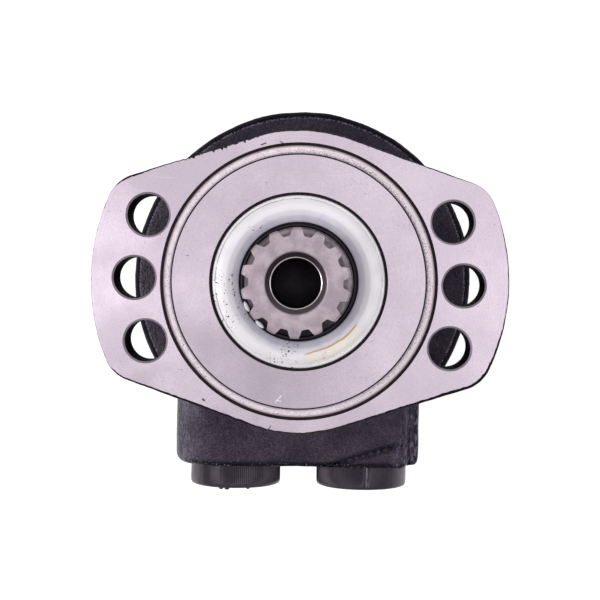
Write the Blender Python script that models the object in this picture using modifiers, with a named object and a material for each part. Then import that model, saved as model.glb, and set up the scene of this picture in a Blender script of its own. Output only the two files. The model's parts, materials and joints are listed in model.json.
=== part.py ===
"""Low-speed high-torque orbital hydraulic motor with a six-hole pilot flange and a splined shaft.

The motor stands on its end cover: the origin is the centre of the end cover's rear face, +Z runs
along the output shaft towards its splined end, and the two ports face -Y.
Seven rollers in the stator and a six-lobed rotor form the displacement chambers. The rotor orbits
on an eccentric, a crowned link takes its slow turning to the output shaft, and the link's nose
carries the commutator round at the orbiting speed.
"""

import math

import bmesh
import bpy
from mathutils import Matrix, Vector

mm = 0.001

# Lengthwise stack, from the end cover's rear face at z = 0 towards the shaft end
SEAM = 0.3 * mm  # gap between touching pieces
END_COVER_T = 16.0 * mm
COMMUTATOR_RING_T = 13.0 * mm
MANIFOLD_T = 13.0 * mm
STATOR_T = 20.0 * mm
WEAR_PLATE_T = 6.2 * mm
FLANGE_TO_REAR_FLANGE = 76.5 * mm
REAR_FLANGE_T = 16.0 * mm

END_COVER_TOP = END_COVER_T
COMMUTATOR_RING_Z = END_COVER_TOP + SEAM
COMMUTATOR_RING_TOP = COMMUTATOR_RING_Z + COMMUTATOR_RING_T
MANIFOLD_Z = COMMUTATOR_RING_TOP + SEAM
MANIFOLD_TOP = MANIFOLD_Z + MANIFOLD_T
STATOR_Z = MANIFOLD_TOP + SEAM
STATOR_TOP = STATOR_Z + STATOR_T
WEAR_PLATE_Z = STATOR_TOP + SEAM
WEAR_PLATE_TOP = WEAR_PLATE_Z + WEAR_PLATE_T
HOUSING_Z = WEAR_PLATE_TOP + SEAM
REAR_FLANGE_TOP = HOUSING_Z + REAR_FLANGE_T
FACE_Z = REAR_FLANGE_TOP + FLANGE_TO_REAR_FLANGE  # front face of the mounting flange

# Mounting flange and pilot
FLANGE_T = 15.4 * mm
FLANGE_END_R = 67.3 * mm
FLANGE_MIDDLE_R = 48.8 * mm
FLANGE_CORNER_R = 12.0 * mm
FLANGE_EDGE_ANGLE = math.radians(71.4)  # direction square to the long straight edges
MOUNT_CIRCLE_R = 53.2 * mm
MOUNT_HOLE_R = 6.75 * mm
MOUNT_HOLE_CHAMFER = 0.55 * mm
MOUNT_HOLE_STEP = math.radians(22.5)
PILOT_R = 41.25 * mm
PILOT_H = 6.35 * mm
PILOT_CHAMFER = 0.8 * mm
RELIEF_R = 44.75 * mm
RELIEF_FLOOR_R = 43.95 * mm
RELIEF_DEPTH = 2.0 * mm

# Body
BODY_R = 63.5 * mm
BODY_CHAMFER = 1.8 * mm
NECK_R = 37.5 * mm
CAVITY_R = 33.0 * mm
INNER_BORE_R = 29.0 * mm
SEAL_BORE_R = 24.0 * mm
OUTER_BORE_R = 22.0 * mm
DUST_BORE_R = 27.75 * mm

# Port block
BLOCK_HALF_W = 43.0 * mm
BLOCK_FACE_Y = -64.4 * mm
BLOCK_INNER_Y = -20.0 * mm
BLOCK_FRONT = 30.0 * mm  # below the flange face
BLOCK_REAR = 66.0 * mm
BLOCK_CORNER_R = 14.0 * mm
BLOCK_EDGE_R = 3.4 * mm  # rounded edge where the left side meets the port face
BLOCK_TURN = math.radians(0.7)  # the block and its ports sit a little round from the bolt holes
PORT_X = 22.5 * mm
PORT_DEPTH_BELOW_FACE = 48.5 * mm
PORT_THREAD_R = 10.4 * mm
PORT_SPOT_R = 16.6 * mm
PORT_SPOT_DEPTH = 0.8 * mm
PORT_SEAT_R = 12.4 * mm
PORT_SEAT_DEPTH = 2.6 * mm
PORT_DEPTH = 17.0 * mm
PASSAGE_R = 5.5 * mm
GALLERY_R = 3.6 * mm
GALLERY_CIRCLE_R = 39.8 * mm

# Clamp bolts
BOLT_COUNT = 7
BOLT_CIRCLE_R = 54.0 * mm
BOLT_R = 4.7 * mm
BOLT_HOLE_R = 5.2 * mm
BOLT_ENGAGEMENT = 12.5 * mm
BOLT_HEAD_R = 8.2 * mm
BOLT_HEAD_T = 7.0 * mm
BOLT_WASHER_T = 1.0 * mm
BOLT_SEAT_STEP = 0.5 * mm  # the bolt heads seat on a ring this far in front of the rear face
REAR_PAD_R = 44.5 * mm

# Orbiting gear set
ROLLERS = 7
LOBES = 6
ROLLER_CIRCLE_R = 36.0 * mm
ROLLER_R = 7.5 * mm
ROLLER_FIT = 0.12 * mm
ORBIT = 2.9 * mm
POCKET_R = 7.8 * mm
STATOR_BORE_R = 34.8 * mm

# Sealing rings between the body sections
RING_INNER_R = 45.4 * mm
RING_OUTER_R = 47.4 * mm
RING_T = 1.5 * mm
GROOVE_DEPTH = 1.6 * mm
GROOVE_SIDE = 0.25 * mm

# Output shaft, heights from the flange face
SHAFT_END = 55.2 * mm
SPLINE_TEETH = 14
SPLINE_R = 15.6 * mm
SPLINE_ROOT_R = 13.5 * mm
SPLINE_GAP_ROOT_HALF = 1.1 * mm
SPLINE_GAP_TIP_HALF = 2.4 * mm
SPLINE_START = 13.0 * mm
JOURNAL_END = 6.2 * mm  # the shoulder where the sealed journal ends and the spline's full diameter begins
JOURNAL_R = 17.45 * mm
END_BORE_R = 7.2 * mm
END_BORE_DEPTH = 26.0 * mm
BELL_R = 24.0 * mm
BELL_FRONT = -33.9 * mm
BELL_REAR = -69.6 * mm

# Drive link and its splines
LINK_TEETH = 10
LINK_TIP_R = 15.0 * mm
LINK_ROOT_R = 12.4 * mm
LINK_TIP_HALF = 1.5 * mm
LINK_ROOT_HALF = 2.3 * mm
LINK_FIT = 0.3 * mm
LINK_RADIAL_FIT = 0.6 * mm
LINK_PIVOT = -60.0 * mm  # front spline's middle, from the flange face
LINK_PIVOT_Z = FACE_Z + LINK_PIVOT
ROTOR_MID_Z = STATOR_Z + STATOR_T / 2
COMMUTATOR_MID_Z = COMMUTATOR_RING_Z + COMMUTATOR_RING_T / 2 + 0.4 * mm
LINK_SPAN = LINK_PIVOT_Z - ROTOR_MID_Z
LINK_TILT = math.atan2(ORBIT, LINK_SPAN)
COMMUTATOR_ORBIT = ORBIT * (LINK_PIVOT_Z - COMMUTATOR_MID_Z) / LINK_SPAN

# Port plugs
PLUG_HEAD_R = 15.875 * mm
PLUG_HEAD_T = 8.65 * mm
PLUG_SHANK_R = 9.3 * mm
PLUG_SHANK_L = 13.5 * mm
PLUG_HEX_R = 6.9 * mm

BODY_SIDES = 36
SHAFT_SIDES = 24
RING_SIDES = 30
HOLE_SIDES = 10

FULL_TURN = 2 * math.pi
PART_NAME = "hydraulic_motor"


# ---------------------------------------------------------------- scene helpers


def clear_scene():
    for obj in list(bpy.data.objects):
        bpy.data.objects.remove(obj, do_unlink=True)


def new_collection(name):
    collection = bpy.data.collections.new(name)
    bpy.context.scene.collection.children.link(collection)
    return collection


def make_material(name, color, metallic, roughness):
    material = bpy.data.materials.new(name)
    material.use_nodes = True
    shader = material.node_tree.nodes["Principled BSDF"]
    shader.inputs["Base Color"].default_value = (*color, 1.0)
    shader.inputs["Metallic"].default_value = metallic
    shader.inputs["Roughness"].default_value = roughness
    return material


def add_object(name, mesh, material=None):
    """A mesh object: a part when it has a material, otherwise a hidden cutter."""
    obj = bpy.data.objects.new(name, mesh)
    if material is None:
        cutters.objects.link(obj)
        obj.hide_render = True
        obj.display_type = "WIRE"
    else:
        parts.objects.link(obj)
        mesh.materials.append(material)
    return obj


def smooth(mesh):
    mesh.shade_smooth()
    mesh.set_sharp_from_angle(angle=math.radians(32))


def mesh_of(obj):
    """The evaluated mesh of an object, which is then removed."""
    bpy.context.view_layer.update()
    graph = bpy.context.evaluated_depsgraph_get()
    mesh = bpy.data.meshes.new_from_object(obj.evaluated_get(graph), depsgraph=graph)
    bpy.data.objects.remove(obj, do_unlink=True)
    work = bmesh.new()
    work.from_mesh(mesh)
    bmesh.ops.remove_doubles(work, verts=work.verts, dist=1e-6)
    bmesh.ops.recalc_face_normals(work, faces=work.faces)
    work.to_mesh(mesh)
    work.free()
    return mesh


def turned(name, profile, material=None, sides=BODY_SIDES, at=(0.0, 0.0, 0.0)):
    """A solid of revolution about Z from (radius, height) points, down the outer side first."""
    mesh = bpy.data.meshes.new(name + "_profile")
    closed = min(radius for radius, _ in profile) > 0
    edges = [(i, i + 1) for i in range(len(profile) - 1)]
    if closed:
        edges.append((len(profile) - 1, 0))
    mesh.from_pydata([(radius, 0.0, z) for radius, z in profile], edges, [])
    lathe = bpy.data.objects.new(name + "_profile", mesh)
    cutters.objects.link(lathe)
    screw = lathe.modifiers.new("Turn", "SCREW")
    screw.axis = "Z"
    screw.angle = FULL_TURN
    screw.steps = sides
    screw.render_steps = sides
    screw.use_merge_vertices = True
    screw.merge_threshold = 1e-6
    solid = mesh_of(lathe)
    solid.name = name
    smooth(solid)
    obj = add_object(name, solid, material)
    obj.location = at
    return obj


def plate(name, outlines, low, high, material=None):
    """A flat outline, with the later outlines as holes, extruded from height low to high."""
    curve = bpy.data.curves.new(name + "_outline", "CURVE")
    curve.dimensions = "2D"
    curve.fill_mode = "BOTH"
    curve.extrude = (high - low) / 2
    for outline in outlines:
        spline = curve.splines.new("POLY")
        spline.points.add(len(outline) - 1)
        for point, (x, y) in zip(spline.points, outline):
            point.co = (x, y, 0.0, 1.0)
        spline.use_cyclic_u = True
    flat = bpy.data.objects.new(name + "_outline", curve)
    cutters.objects.link(flat)
    solid = mesh_of(flat)
    bpy.data.curves.remove(curve)
    solid.transform(Matrix.Translation((0.0, 0.0, (low + high) / 2)))
    solid.name = name
    smooth(solid)
    return add_object(name, solid, material)


def cylinders(name, centres, radius, low, high, sides=HOLE_SIDES, top_radius=None):
    """A cutter of equal cylinders or cones along Z at the (x, y) centres."""
    work = bmesh.new()
    for x, y in centres:
        bmesh.ops.create_cone(
            work,
            cap_ends=True,
            segments=sides,
            radius1=radius,
            radius2=radius if top_radius is None else top_radius,
            depth=high - low,
            matrix=Matrix.Translation((x, y, (low + high) / 2)),
        )
    mesh = bpy.data.meshes.new(name)
    work.to_mesh(mesh)
    work.free()
    return add_object(name, mesh)


def boxes(name, size, places):
    """A cutter of equal boxes, one for each matrix in places."""
    work = bmesh.new()
    for place in places:
        bmesh.ops.create_cube(work, size=1.0, matrix=place @ Matrix.Diagonal((*size, 1.0)))
    mesh = bpy.data.meshes.new(name)
    work.to_mesh(mesh)
    work.free()
    return add_object(name, mesh)


def boolean(obj, other, operation):
    modifier = obj.modifiers.new(other.name, "BOOLEAN")
    modifier.operation = operation
    modifier.solver = "EXACT"
    modifier.object = other


def cut(obj, *others):
    for other in others:
        boolean(obj, other, "DIFFERENCE")


def join(obj, *others):
    for other in others:
        boolean(obj, other, "UNION")


# ---------------------------------------------------------------- outlines


def polar(radius, angle):
    return (radius * math.cos(angle), radius * math.sin(angle))


def arc(centre, radius, start, end, steps):
    return [
        (
            centre[0] + radius * math.cos(start + (end - start) * i / steps),
            centre[1] + radius * math.sin(start + (end - start) * i / steps),
        )
        for i in range(steps + 1)
    ]


def circle(radius, sides=BODY_SIDES, centre=(0.0, 0.0)):
    return arc(centre, radius, 0.0, FULL_TURN * (sides - 1) / sides, sides - 1)


def ring_of(count, radius, first=0.0):
    return [polar(radius, first + FULL_TURN * i / count) for i in range(count)]


BOLT_CENTRES = ring_of(BOLT_COUNT, BOLT_CIRCLE_R, math.pi / 2)
ROLLER_ANGLES = [-math.pi / 2 + FULL_TURN * i / ROLLERS for i in range(ROLLERS)]
RIGHT_GALLERY_ANGLE = math.pi / 2 + FULL_TURN * 4 / BOLT_COUNT
LEFT_GALLERY_ANGLE = math.pi - RIGHT_GALLERY_ANGLE
MOUNT_ANGLES = [side + MOUNT_HOLE_STEP * i for side in (0.0, math.pi) for i in (-1, 0, 1)]
MOUNT_CENTRES = [polar(MOUNT_CIRCLE_R, angle) for angle in MOUNT_ANGLES]
GALLERY_CENTRE = polar(GALLERY_CIRCLE_R, RIGHT_GALLERY_ANGLE)


def bolt_holes():
    return [circle(BOLT_HOLE_R, HOLE_SIDES, centre) for centre in BOLT_CENTRES]


def flange_outline():
    """Concentric end and middle arcs joined by tangent edges, with rounded corners."""
    corner_distance = FLANGE_END_R - FLANGE_CORNER_R
    along = math.sqrt(corner_distance**2 - (FLANGE_MIDDLE_R - FLANGE_CORNER_R) ** 2)
    normal = Vector((math.cos(FLANGE_EDGE_ANGLE), math.sin(FLANGE_EDGE_ANGLE)))
    tangent = Vector((normal.y, -normal.x))
    corner = normal * (FLANGE_MIDDLE_R - FLANGE_CORNER_R) + tangent * along
    corner_angle = math.atan2(corner.y, corner.x)
    quarter = arc((0, 0), FLANGE_END_R, 0.0, corner_angle, 5)[:-1]
    quarter += arc(corner, FLANGE_CORNER_R, corner_angle, FLANGE_EDGE_ANGLE, 5)
    quarter += arc((0, 0), FLANGE_MIDDLE_R, FLANGE_EDGE_ANGLE, math.pi / 2, 3)
    left = [(-x, y) for x, y in reversed(quarter[:-1])]
    upper = quarter + left
    lower = [(x, -y) for x, y in reversed(upper[1:-1])]
    return upper + lower


def block_outline():
    """The port block's section across Y, as (x, height below the flange face) points."""
    left = -BLOCK_HALF_W + BLOCK_CORNER_R
    front = arc((left, -BLOCK_FRONT - BLOCK_CORNER_R), BLOCK_CORNER_R, math.pi, math.pi / 2, 5)
    right = [
        (BLOCK_HALF_W - 5.0 * mm, -BLOCK_FRONT),
        (BLOCK_HALF_W, -BLOCK_FRONT - 9.0 * mm),
        (BLOCK_HALF_W, -BLOCK_REAR + 4.0 * mm),
        (BLOCK_HALF_W - 4.0 * mm, -BLOCK_REAR),
    ]
    rear = [(-BLOCK_HALF_W + 4.0 * mm, -BLOCK_REAR), (-BLOCK_HALF_W, -BLOCK_REAR + 4.0 * mm)]
    return front + right + rear


def toothed_outline(teeth, root_r, tip_r, root_half, tip_half):
    """Straight-sided spline teeth, the first one pointing along +X."""
    root_angle = math.asin(root_half / root_r)
    tip_angle = math.asin(tip_half / tip_r)
    points = []
    for i in range(teeth):
        middle = FULL_TURN * i / teeth
        points.append(polar(root_r, middle - root_angle))
        points.append(polar(tip_r, middle - tip_angle))
        points.append(polar(tip_r, middle + tip_angle))
        points.append(polar(root_r, middle + root_angle))
    return points


def link_socket_outline():
    """The internal spline that the drive link's crowned teeth run in."""
    slope = (LINK_ROOT_HALF - LINK_TIP_HALF) / (LINK_TIP_R - LINK_ROOT_R)
    widening = LINK_FIT - slope * LINK_RADIAL_FIT
    return toothed_outline(
        LINK_TEETH,
        LINK_ROOT_R + LINK_RADIAL_FIT,
        LINK_TIP_R + LINK_RADIAL_FIT,
        LINK_ROOT_HALF + widening,
        LINK_TIP_HALF + widening,
    )


def rotor_outline(steps_per_lobe=16, crowding=0.5):
    """The curve that stays in touch with all seven rollers: an epitrochoid, offset inwards.

    One of its valleys faces -Y, where the lowest roller is.
    """
    points = []
    total = LOBES * steps_per_lobe
    for i in range(total):
        turn = FULL_TURN * i / total
        angle = turn - crowding * math.sin(LOBES * turn) / LOBES
        wave = ROLLERS * angle
        x = ROLLER_CIRCLE_R * math.cos(angle) - ORBIT * math.cos(wave)
        y = ROLLER_CIRCLE_R * math.sin(angle) - ORBIT * math.sin(wave)
        dx = -ROLLER_CIRCLE_R * math.sin(angle) + ROLLERS * ORBIT * math.sin(wave)
        dy = ROLLER_CIRCLE_R * math.cos(angle) - ROLLERS * ORBIT * math.cos(wave)
        offset = (ROLLER_R + ROLLER_FIT) / math.hypot(dx, dy)
        points.append((y + dx * offset, dy * offset - x))
    return points


def stator_bore_outline(pocket_steps=10, land_steps=3):
    """The bore between the roller pockets, each pocket holding its roller past the middle."""
    opening = math.acos(
        (STATOR_BORE_R**2 - ROLLER_CIRCLE_R**2 - POCKET_R**2) / (2 * ROLLER_CIRCLE_R * POCKET_R)
    )
    lip = math.atan2(
        POCKET_R * math.sin(opening), ROLLER_CIRCLE_R + POCKET_R * math.cos(opening)
    )
    points = []
    for angle in ROLLER_ANGLES:
        centre = polar(ROLLER_CIRCLE_R, angle)
        points += arc(centre, POCKET_R, angle - opening, angle + opening, pocket_steps)
        land_end = angle + FULL_TURN / ROLLERS - lip
        points += arc((0, 0), STATOR_BORE_R, angle + lip, land_end, land_steps)[1:-1]
    return points


# ---------------------------------------------------------------- housing


def housing_core():
    """Pilot, neck, rear flange and the stepped bore, as one turned shape."""
    f = FACE_Z
    profile = [
        (PILOT_R - PILOT_CHAMFER, f + PILOT_H),
        (PILOT_R, f + PILOT_H - PILOT_CHAMFER),
        (PILOT_R, f - RELIEF_DEPTH),
        (RELIEF_R + 1.75 * mm, f - RELIEF_DEPTH),
        (RELIEF_R + 1.75 * mm, f - 12.0 * mm),
        (40.0 * mm, f - 19.0 * mm),
        (NECK_R, f - 25.0 * mm),
        (NECK_R, f - 64.0 * mm),
        (40.0 * mm, f - 70.5 * mm),
        (44.0 * mm, f - 74.5 * mm),
        (50.0 * mm, REAR_FLANGE_TOP),
        (BODY_R - BODY_CHAMFER, REAR_FLANGE_TOP),
        (BODY_R, REAR_FLANGE_TOP - BODY_CHAMFER),
        (BODY_R, HOUSING_Z),
        (CAVITY_R, HOUSING_Z),
        (CAVITY_R, f - 62.0 * mm),
        (INNER_BORE_R, f - 62.0 * mm),
        (INNER_BORE_R, f - 29.2 * mm),
        (SEAL_BORE_R, f - 29.2 * mm),
        (SEAL_BORE_R, f - 21.2 * mm),
        (OUTER_BORE_R, f - 21.2 * mm),
        (OUTER_BORE_R, f - 1.2 * mm),
        (DUST_BORE_R, f - 1.2 * mm),
        (DUST_BORE_R, f + PILOT_H - 0.8 * mm),
        (DUST_BORE_R + 0.8 * mm, f + PILOT_H),
    ]
    return turned("housing", profile, painted_iron)


def mounting_plate():
    """The six-hole mounting flange, opened by the cone of the relief groove's outer wall."""
    flange = plate("mounting_plate", [flange_outline()], FACE_Z - FLANGE_T, FACE_Z)
    slope = (RELIEF_R - RELIEF_FLOOR_R) / RELIEF_DEPTH
    above = 1.0 * mm
    below = FLANGE_T + 1.0 * mm
    relief = cylinders(
        "relief_cone",
        [(0.0, 0.0)],
        RELIEF_R - slope * below,
        FACE_Z - below,
        FACE_Z + above,
        BODY_SIDES,
        RELIEF_R + slope * above,
    )
    hole = [
        (0.0, above),
        (MOUNT_HOLE_R + MOUNT_HOLE_CHAMFER + above, above),
        (MOUNT_HOLE_R, -MOUNT_HOLE_CHAMFER),
        (MOUNT_HOLE_R, -below),
        (0.0, -below),
    ]
    cut(flange, relief)
    for number, (x, y) in enumerate(MOUNT_CENTRES, start=1):
        cut(flange, turned(f"mount_hole_{number}", hole, sides=16, at=(x, y, FACE_Z)))
    return flange


def turned_place(x, y, z):
    """A place given square to the ports, as it lies once the block is turned."""
    return Matrix.Rotation(BLOCK_TURN, 4, "Z") @ Vector((x, y, z))


def block_edge_cutter(low, high):
    """What rounds the block's left edge off where it meets the port face."""
    side, past = -BLOCK_HALF_W, 1.0 * mm
    centre = (side + BLOCK_EDGE_R, BLOCK_FACE_Y + BLOCK_EDGE_R)
    outline = arc(centre, BLOCK_EDGE_R, math.pi, 1.5 * math.pi, 4)
    outline += [(side + BLOCK_EDGE_R, BLOCK_FACE_Y - past), (side - past, BLOCK_FACE_Y - past)]
    outline.append((side - past, BLOCK_FACE_Y + BLOCK_EDGE_R))
    cutter = plate("block_edge", [outline], low, high)
    cutter.rotation_euler.z = BLOCK_TURN
    return cutter


def port_block():
    """The block that carries both ports, hollowed where the neck's wall takes over."""
    half = (BLOCK_INNER_Y - BLOCK_FACE_Y) / 2
    block = plate("port_block", [block_outline()], -half, half)
    block.rotation_euler = (math.pi / 2, 0.0, BLOCK_TURN)
    block.location = turned_place(0.0, (BLOCK_INNER_Y + BLOCK_FACE_Y) / 2, FACE_Z)
    low, high = FACE_Z - BLOCK_REAR - 3.0 * mm, FACE_Z - BLOCK_FRONT + 3.0 * mm
    clearing = cylinders("block_clearing", [(0.0, 0.0)], NECK_R - 1.6 * mm, low, high, BODY_SIDES)
    cut(block, clearing, block_edge_cutter(low, high))
    return block


def gallery_web():
    """The rib behind the port block that the two fluid galleries run through."""
    low, high = FACE_Z - FLANGE_TO_REAR_FLANGE - 2.0 * mm, FACE_Z - BLOCK_REAR + 3.0 * mm
    size = (54.0 * mm, 20.0 * mm, high - low)
    web = boxes("gallery_web", size, [Matrix.Translation((0.0, -37.0 * mm, (low + high) / 2))])
    ends = (low - 1.0 * mm, high + 1.0 * mm)
    cut(web, cylinders("web_clearing", [(0.0, 0.0)], NECK_R - 1.6 * mm, *ends, BODY_SIDES))
    return web


def port_cutter(name, x, passage_end):
    """One threaded port with its spot face, seal seat and the passage that runs in towards the neck."""
    start = -BLOCK_FACE_Y
    spot = start - PORT_SPOT_DEPTH
    profile = [
        (0.0, start + 2.0 * mm),
        (PORT_SPOT_R, start + 2.0 * mm),
        (PORT_SPOT_R, spot),
        (PORT_SEAT_R, spot),
        (PORT_SEAT_R, spot - PORT_SEAT_DEPTH),
        (PORT_THREAD_R, spot - PORT_SEAT_DEPTH),
        (PORT_THREAD_R, start - PORT_DEPTH),
        (PASSAGE_R, start - PORT_DEPTH - 3.0 * mm),
        (PASSAGE_R, passage_end),
        (0.0, passage_end),
    ]
    port = turned(name, profile, sides=20)
    port.rotation_euler = (math.pi / 2, 0.0, BLOCK_TURN)
    port.location = turned_place(x, 0.0, FACE_Z - PORT_DEPTH_BELOW_FACE)
    return port


def housing_cutters():
    """Ports, fluid galleries, the tapped holes of the clamp bolts and the seal groove."""
    gallery_top = FACE_Z - PORT_DEPTH_BELOW_FACE
    low = HOUSING_Z - 5.0 * mm
    tapped_top = HOUSING_Z + BOLT_ENGAGEMENT + 1.0 * mm
    cavity_slot = polar(35.0 * mm, LEFT_GALLERY_ANGLE)
    groove = [
        (RING_OUTER_R + GROOVE_SIDE, HOUSING_Z + GROOVE_DEPTH),
        (RING_OUTER_R + GROOVE_SIDE, low),
        (RING_INNER_R - GROOVE_SIDE, low),
        (RING_INNER_R - GROOVE_SIDE, HOUSING_Z + GROOVE_DEPTH),
    ]
    return [
        port_cutter("left_port_cutter", -PORT_X, 30.5 * mm),
        port_cutter("right_port_cutter", PORT_X, 33.5 * mm),
        cylinders("right_gallery", [GALLERY_CENTRE], GALLERY_R, low, gallery_top),
        cylinders("left_gallery", [cavity_slot], 4.6 * mm, HOUSING_Z + 10.0 * mm, gallery_top),
        cylinders("tapped_holes", BOLT_CENTRES, BOLT_R + SEAM, low, tapped_top),
        turned("housing_groove", groove, sides=RING_SIDES),
    ]


def make_housing():
    housing = housing_core()
    join(housing, mounting_plate(), port_block(), gallery_web())
    cut(housing, *housing_cutters())


# ---------------------------------------------------------------- shaft, seals and bearings


def spline_gap_cutter():
    """The fourteen tapering gaps between the output spline's teeth."""
    reach = SPLINE_R + 1.0 * mm
    slope = (SPLINE_GAP_TIP_HALF - SPLINE_GAP_ROOT_HALF) / (SPLINE_R - SPLINE_ROOT_R)
    reach_half = SPLINE_GAP_TIP_HALF + slope * 1.0 * mm
    section = (
        (SPLINE_ROOT_R, -SPLINE_GAP_ROOT_HALF),
        (reach, -reach_half),
        (reach, reach_half),
        (SPLINE_ROOT_R, SPLINE_GAP_ROOT_HALF),
    )
    outlines = []
    for i in range(SPLINE_TEETH):
        middle = math.pi / 2 + FULL_TURN * (i + 0.5) / SPLINE_TEETH
        turn = Matrix.Rotation(middle, 2)
        outlines.append([tuple(turn @ Vector(point)) for point in section])
    low, high = FACE_Z + SPLINE_START, FACE_Z + SHAFT_END + 1.0 * mm
    return plate("spline_gaps", outlines, low, high)


def make_coupling_shaft():
    """The output shaft: end bore, splined nose, journal, and the hollow bell with its socket."""
    f = FACE_Z
    profile = [
        (0.0, f + SHAFT_END - END_BORE_DEPTH - 3.0 * mm),
        (END_BORE_R, f + SHAFT_END - END_BORE_DEPTH),
        (END_BORE_R, f + SHAFT_END - 1.6 * mm),
        (END_BORE_R + 0.5 * mm, f + SHAFT_END - 1.1 * mm),
        (END_BORE_R + 1.5 * mm, f + SHAFT_END),
        (SPLINE_R - 0.6 * mm, f + SHAFT_END),
        (SPLINE_R, f + SHAFT_END - 0.6 * mm),
        (SPLINE_R, f + JOURNAL_END),
        (JOURNAL_R - 0.6 * mm, f + JOURNAL_END),
        (JOURNAL_R, f + JOURNAL_END - 0.6 * mm),
        (JOURNAL_R, f + BELL_FRONT),
        (BELL_R - 0.6 * mm, f + BELL_FRONT),
        (BELL_R, f + BELL_FRONT - 0.6 * mm),
        (BELL_R, f + BELL_REAR + 0.8 * mm),
        (BELL_R - 0.8 * mm, f + BELL_REAR),
        (17.4 * mm, f + BELL_REAR),
        (16.2 * mm, f + BELL_REAR + 1.2 * mm),
        (11.5 * mm, f + BELL_REAR + 1.2 * mm),
        (11.5 * mm, f - 44.0 * mm),
        (0.0, f - 42.0 * mm),
    ]
    shaft = turned("coupling_shaft", profile, shaft_steel, SHAFT_SIDES)
    socket_low, socket_high = f + BELL_REAR - 1.0 * mm, f - 50.0 * mm
    socket = plate("shaft_socket", [link_socket_outline()], socket_low, socket_high)
    cut(shaft, spline_gap_cutter(), socket)


def make_dust_seal():
    """The dirt seal: a domed pressed case with a rubber lip that wipes the journal."""
    f = FACE_Z
    case = [
        (27.5 * mm, f + 5.0 * mm),
        (27.5 * mm, f - 0.9 * mm),
        (26.7 * mm, f - 0.9 * mm),
        (26.7 * mm, f + 3.9 * mm),
        (19.1 * mm, f + 3.9 * mm),
        (19.1 * mm, f + 4.6 * mm),
        (20.6 * mm, f + 5.4 * mm),
        (23.3 * mm, f + 5.7 * mm),
        (25.6 * mm, f + 5.6 * mm),
    ]
    turned("dust_seal_case", case, zinc_plate, BODY_SIDES)
    lip = [
        (26.4 * mm, f + 3.6 * mm),
        (26.4 * mm, f - 0.6 * mm),
        (19.8 * mm, f - 0.6 * mm),
        (17.75 * mm, f + 1.0 * mm),
        (17.75 * mm, f + 1.6 * mm),
        (18.25 * mm, f + 2.6 * mm),
        (17.75 * mm, f + 4.4 * mm),
        (18.0 * mm, f + 4.9 * mm),
        (18.75 * mm, f + 4.3 * mm),
        (18.75 * mm, f + 3.6 * mm),
    ]
    turned("dust_seal_lip", lip, rubber, SHAFT_SIDES)


def make_shaft_seal():
    """The pressure seal's lip ring and the steel washer that backs it up."""
    f = FACE_Z
    washer = [
        (23.7 * mm, f - 21.5 * mm),
        (23.7 * mm, f - 22.7 * mm),
        (18.1 * mm, f - 22.7 * mm),
        (18.1 * mm, f - 21.5 * mm),
    ]
    turned("backup_washer", washer, bright_steel, SHAFT_SIDES)
    seal = [
        (23.7 * mm, f - 23.0 * mm),
        (23.7 * mm, f - 28.9 * mm),
        (22.3 * mm, f - 28.9 * mm),
        (21.6 * mm, f - 25.4 * mm),
        (19.6 * mm, f - 25.4 * mm),
        (18.6 * mm, f - 28.6 * mm),
        (17.75 * mm, f - 28.0 * mm),
        (18.3 * mm, f - 23.0 * mm),
    ]
    turned("shaft_seal", seal, rubber, SHAFT_SIDES)


def bearing_cup(name, outer_r, inner_r, lip_r, low, high):
    """A drawn needle cup with its ends turned in over the rollers."""
    wall = 0.9 * mm
    profile = [
        (outer_r, high),
        (outer_r, low),
        (lip_r, low),
        (lip_r, low + wall),
        (inner_r, low + wall),
        (inner_r, high - wall),
        (lip_r, high - wall),
        (lip_r, high),
    ]
    turned(name, profile, bright_steel, SHAFT_SIDES)


def needle_outline(count, middle_r, web, bulge):
    """One side of a needle cage: the needles stand out of the web's radius by bulge."""
    points = []
    for i in range(count):
        middle = FULL_TURN * i / count
        half = math.pi / count
        points.append(polar(middle_r + web, middle - 0.62 * half))
        points.append(polar(middle_r + bulge, middle - 0.26 * half))
        points.append(polar(middle_r + bulge, middle + 0.26 * half))
        points.append(polar(middle_r + web, middle + 0.62 * half))
    return points


def needle_cage(name, count, inner_r, outer_r, low, high):
    """A ring of needles held in their cage, turning together round the shaft."""
    middle_r = (inner_r + outer_r) / 2
    bulge = (outer_r - inner_r) / 2
    web = bulge * 0.45
    outlines = [
        needle_outline(count, middle_r, web, bulge),
        needle_outline(count, middle_r, -web, -bulge),
    ]
    plate(name, outlines, low, high, bright_steel)


def make_bearings():
    f = FACE_Z
    bearing_cup("outer_bearing_cup", 21.7 * mm, 20.7 * mm, 18.7 * mm, f - 20.4 * mm, f - 1.8 * mm)
    needle_cage("outer_bearing_needles", 14, 17.7 * mm, 20.35 * mm, f - 19.2 * mm, f - 3.0 * mm)
    bearing_cup("inner_bearing_cup", 28.7 * mm, 27.3 * mm, 25.2 * mm, f - 60.5 * mm, f - 35.0 * mm)
    needle_cage("inner_bearing_needles", 18, 24.25 * mm, 26.9 * mm, f - 59.3 * mm, f - 36.2 * mm)
    washer = [
        (28.6 * mm, f - 29.5 * mm),
        (28.6 * mm, f - 31.4 * mm),
        (18.2 * mm, f - 31.4 * mm),
        (18.2 * mm, f - 29.5 * mm),
    ]
    turned("thrust_washer", washer, bright_steel, SHAFT_SIDES)
    make_thrust_bearing(f - 33.6 * mm, f - 31.7 * mm)


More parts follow.
